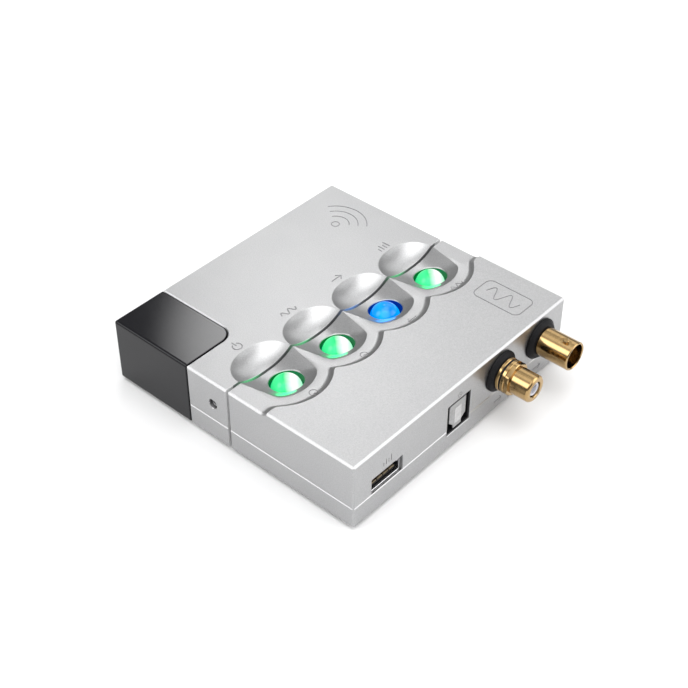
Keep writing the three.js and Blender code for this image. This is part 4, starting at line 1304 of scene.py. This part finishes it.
def optical_door():
    """Dust door with its lower corners cut away: the frosted plate, and the dark carrier behind it."""
    a, b = low("optical_door"), high("optical_door")
    left, right, bottom, top = door_left, door_right, a.z - 0.4, b.z + 0.2

    def outline(grow):
        lower, upper, in_by = bottom - grow, top + grow, 1.9
        return [
            (left + in_by - grow, lower), (right - in_by + grow, lower), (right - in_by + grow, lower + 1.4),
            (right + grow, lower + 3.0), (right + grow, upper), (left - grow, upper),
            (left - grow, lower + 3.0), (left + in_by - grow, lower + 1.4),
        ]

    back = stack(outline, [(a.x, -0.25), (door_front - 0.34, -0.25)], "x")
    plate = stack(outline, [(door_front - 0.35, 0), (door_front - 0.12, 0), (door_front, -0.12)], "x")
    return plate, back


def door_panel():
    """The paler raised middle of the dust door."""
    a, b = low("optical_door"), high("optical_door")
    outline = rounded(optical_y - 1.7, optical_y + 1.5, a.z + 1.2, b.z - 1.8, 0.2, 3)
    return stack(outline, [(door_front - 0.1, 0), (door_front + 0.02, 0), (door_front + 0.1, -0.08)], "x")


piece("optical_housing", optical_housing())
door_plate, door_carrier = optical_door()
piece("optical_door", door_plate)
extra("optical_door_carrier", door_carrier, dark_plastic, "optical_door")
extra("optical_door_panel", door_panel(), door_core, "optical_door")

# ------------------------------------------------------------------ far side, fasteners and feet


def lock_screw(node):
    """Recessed grub screw with a hexagon socket."""
    a, b = low(node), high(node)
    outwards = 1 if b.y > 0 else -1
    face = b.y if outwards > 0 else a.y
    length = b.y - a.y
    tip = face - outwards * length
    levels = [(tip, -0.3), (tip + outwards * 0.3, 0), (face - outwards * 0.12, 0), (face, -0.12)]
    body = stack(circle(1.3, (lock_x, lock_z), 48), levels, "y")
    key_levels = [(face - outwards * 1.6, 0), (face - outwards * 0.08, 0), (face + outwards * 0.5, 0.5)]
    socket = stack(circle(0.85, (lock_x, lock_z), 6, math.pi / 6), key_levels, "y")
    return combine(body, [socket])


def cover_screw(node):
    """Countersunk-edge pan screw with a cross recess."""
    a, b = low(node), high(node)
    x, y = middle(node).to_2d()
    head_top = stand + 1.6
    profile = [(0, a.z), (1.9, a.z), (2.2, a.z + 0.25), (2.2, head_top), (1.2, head_top), (1.2, b.z - 0.4),
               (0.9, b.z), (0, b.z)]
    screw = lathe(profile, (x, y, 0), "z", 48)
    tools = []
    for long_u, long_v in ((1.25, 0.28), (0.28, 1.25)):
        outline = rounded(x - long_u, x + long_u, y - long_v, y + long_v, 0.2, 4)
        tools.append(stack(outline, [(a.z - 1, 0.25), (a.z, 0.05), (a.z + 0.9, -0.12)]))
    return combine(screw, tools)


def foot(node):
    """Moulded rubber pad with a rounded rim and a shallow dish."""
    a, b = low(node), high(node)
    x, y = middle(node).to_2d()
    radius, bead = (b.x - a.x) / 2, 0.5
    turns = [math.pi / 2 * i / 6 for i in range(7)]
    rim = [(radius - bead + bead * math.sin(t), bead - bead * math.cos(t)) for t in turns]
    profile = [(0, 0.12), (radius - 1.3, 0.12), (radius - 0.9, 0.0), *rim, (radius, b.z), (0, b.z)]
    return lathe(profile, (x, y, 0), "z", 72)


def setup_button():
    place, inner_end = middle("setup_button"), high("setup_button").x
    profile = [(0, 0.22), (0.7, 0.16), (1.15, 0.1), (1.4, 0.18), (1.5, 0.35), (1.5, wall + 0.4),
               (2.3, wall + 0.4), (2.3, inner_end), (0, inner_end)]
    return lathe(profile, (0, place.y, place.z), "x", 48)


def ethernet_contacts():
    """Eight sprung contacts that lean back from the floor of the network socket."""
    floor = low("ethernet_jack").z + 1.5
    wires = []
    for i in range(8):
        y = middle("ethernet_jack").y + (i - 3.5) * 1.02
        rings = []
        for x, z in ((2.2, floor - 0.2), (2.6, floor + 0.35), (11.0, floor + 2.6), (11.6, floor + 2.5)):
            rings.append([(x, y - 0.17, z - 0.14), (x, y + 0.17, z - 0.14), (x, y + 0.17, z + 0.14),
                          (x, y - 0.17, z + 0.14)])
        wires.append(loft(rings))
    return joined(wires)


def copied(node, width):
    """A CAD solid of flat faces, copied with its edges softly rounded."""
    mesh = frame["nodes"][node].data.copy()
    mesh.transform(Matrix.Translation((-far_face, 0, 0)) @ Matrix.Diagonal((1 / MM, 1 / MM, 1 / MM, 1)))
    if "custom_normal" in mesh.attributes:
        mesh.attributes.remove(mesh.attributes["custom_normal"])
    mesh.materials.clear()
    return soften(mesh, width)


for node in ("lock_screw_front", "lock_screw_back"):
    piece(node, lock_screw(node))
for node in sorted(frame["nodes"]):
    if "_screw_" in node and not node.startswith("lock"):
        piece(node, cover_screw(node))
    if "_foot_" in node:
        piece(node, foot(node))
piece("setup_button", setup_button())
for node in ("ethernet_jack", "charge_port", "card_socket_near", "card_socket_far"):
    piece(node, copied(node, 0.12))
extra("ethernet_contacts", ethernet_contacts(), gold)

shown_by_piece = {n for row in bpy.context.scene.objects for n in row.get("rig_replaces", [])}
for node, thing in frame["nodes"].items():
    if node in shown_by_piece:
        continue
    look = SLOT_LOOKS[slot_of[node]]
    thing.data.materials.clear()
    thing.data.materials.append(look)
    edges = thing.modifiers.new("broken_edges", "BEVEL")
    edges.width = 0.1 * MM
    edges.segments = 2
    edges.angle_limit = math.radians(40)

# ------------------------------------------------------------------ glow, floor, light and camera


def lamp(name, position, power, colour, size, target):
    """A small oval light, which the camera does not see."""
    data = bpy.data.lights.new(name, "AREA")
    data.energy = power
    data.color = colour
    data.shape = "ELLIPSE"
    data.size, data.size_y = size
    light = bpy.data.objects.new(name, data)
    bpy.context.scene.collection.objects.link(light)
    light.location = position
    light.rotation_mode = "QUATERNION"
    light.rotation_quaternion = (target - position).to_track_quat("-Z", "Y")
    light.visible_camera = False


def at(x, y, z):
    """A point given in millimetres from the far face, in the row frame."""
    return Vector(((x + far_face) * MM, y * MM, z * MM))


GREEN_LIGHT, BLUE_LIGHT = (0.0, 1.0, 0.26), (0.0, 0.30, 1.0)
for number, y in zip(BUTTONS, scoop_y):
    colour = BLUE_LIGHT if number == BLUE_BUTTON else GREEN_LIGHT
    centre = middle(f"button_ball_{number}")
    rim = Vector((centre.x + 3.5, y - 4.0, centre.z + 4.3))
    lamp(f"spill_{number}", at(*rim), 0.00045, colour, (0.006, 0.006), at(rim.x, rim.y, 0))
    face = Vector((output_start + 0.05, y - 6.5, strip_top - 2.6))
    lamp(f"joint_glow_{number}", at(*face), 0.00012, colour, (0.009, 0.002), at(0, face.y, face.z))


def floor_plane():
    size = 12.0
    mesh = bpy.data.meshes.new("floor")
    corners = [(-size, -size, 0), (size, -size, 0), (size, size, 0), (-size, size, 0)]
    mesh.from_pydata(corners, [], [(0, 1, 2, 3)])
    nodes = Nodes("floor_white")
    paper = nodes.noise(40, detail=2)
    nodes.link(nodes.ramp(paper, [(0.3, (0.80, 0.80, 0.802)), (0.7, (0.81, 0.81, 0.812))]),
               nodes.shader.inputs["Base Color"])
    nodes.set(Roughness=0.9)
    mesh.materials.append(nodes.material)
    floor = bpy.data.objects.new("floor", mesh)
    bpy.context.scene.collection.objects.link(floor)


floor_plane()


def studio_world(base, softboxes):
    """A sky of even strength with round softboxes: azimuth, elevation, radius, softness, strength."""
    sky = bpy.data.worlds.new("studio")
    sky.use_nodes = True
    tree = sky.node_tree
    direction = tree.nodes.new("ShaderNodeTexCoord").outputs["Generated"]
    total = None
    for turn, rise, radius, softness, strength in softboxes:
        turn, rise = math.radians(turn), math.radians(rise)
        facing = tree.nodes.new("ShaderNodeVectorMath")
        facing.operation = "DOT_PRODUCT"
        facing.inputs[1].default_value = (math.cos(turn) * math.cos(rise), math.sin(turn) * math.cos(rise),
                                          math.sin(rise))
        tree.links.new(direction, facing.inputs[0])
        patch = tree.nodes.new("ShaderNodeMapRange")
        patch.interpolation_type = "SMOOTHSTEP"
        patch.inputs["From Min"].default_value = math.cos(math.radians(radius + softness))
        patch.inputs["From Max"].default_value = math.cos(math.radians(radius - softness))
        patch.inputs["To Min"].default_value = 0.0
        patch.inputs["To Max"].default_value = strength
        tree.links.new(facing.outputs["Value"], patch.inputs["Value"])
        joined_up = tree.nodes.new("ShaderNodeMath")
        joined_up.operation = "ADD"
        joined_up.inputs[1].default_value = base
        if total:
            tree.links.new(total, joined_up.inputs[1])
        tree.links.new(patch.outputs["Result"], joined_up.inputs[0])
        total = joined_up.outputs["Value"]
    background = tree.nodes["Background"]
    background.inputs["Color"].default_value = (1.0, 1.0, 1.0, 1)
    tree.links.new(total, background.inputs["Strength"])
    bpy.context.scene.world = sky


studio_world(0.26, [
    (96, 54, 40, 25, 0.16),  # wide glow behind the object
    (110, 36, 12, 9, 1.0),  # seen in the right half of the lids
    (105, 66, 12, 8, 1.6),  # high behind, seen in the bowls
    (135.0, 40.3, 3.4, 2.1, 9.5),  # small key light, seen in the lids and the black cover
    (233, 36, 14, 8, 3.6),  # seen in the chamfers along the long side
    (215, 62, 16, 12, 0.25),
    (36, 25, 20, 12, 2.7),  # seen in the chamfers above the connectors
    (0, 90, 20, 12, 1.6),  # overhead fill
    (312, 62, 30, 15, 2.0),  # fill from over the camera
])

azimuth, elevation, distance = math.radians(41.55), math.radians(40.32), 0.4382
aim_point = Vector((-0.0043, -0.00144, 0.0124))
back = Vector((math.sin(azimuth) * math.cos(elevation), -math.cos(azimuth) * math.cos(elevation),
               math.sin(elevation)))
camera_data = bpy.data.cameras.new("camera")
camera_data.lens = 73.19
camera_data.sensor_width = 36.0
camera_data.clip_start, camera_data.clip_end = 0.01, 20.0
camera = bpy.data.objects.new("camera", camera_data)
bpy.context.scene.collection.objects.link(camera)
camera.location = aim_point + back * distance
camera.rotation_mode = "QUATERNION"
camera.rotation_quaternion = (-back).to_track_quat("-Z", "Y")
bpy.context.scene.camera = camera

bpy.context.scene.view_settings.view_transform = "Standard"

bpy.context.view_layer.update()
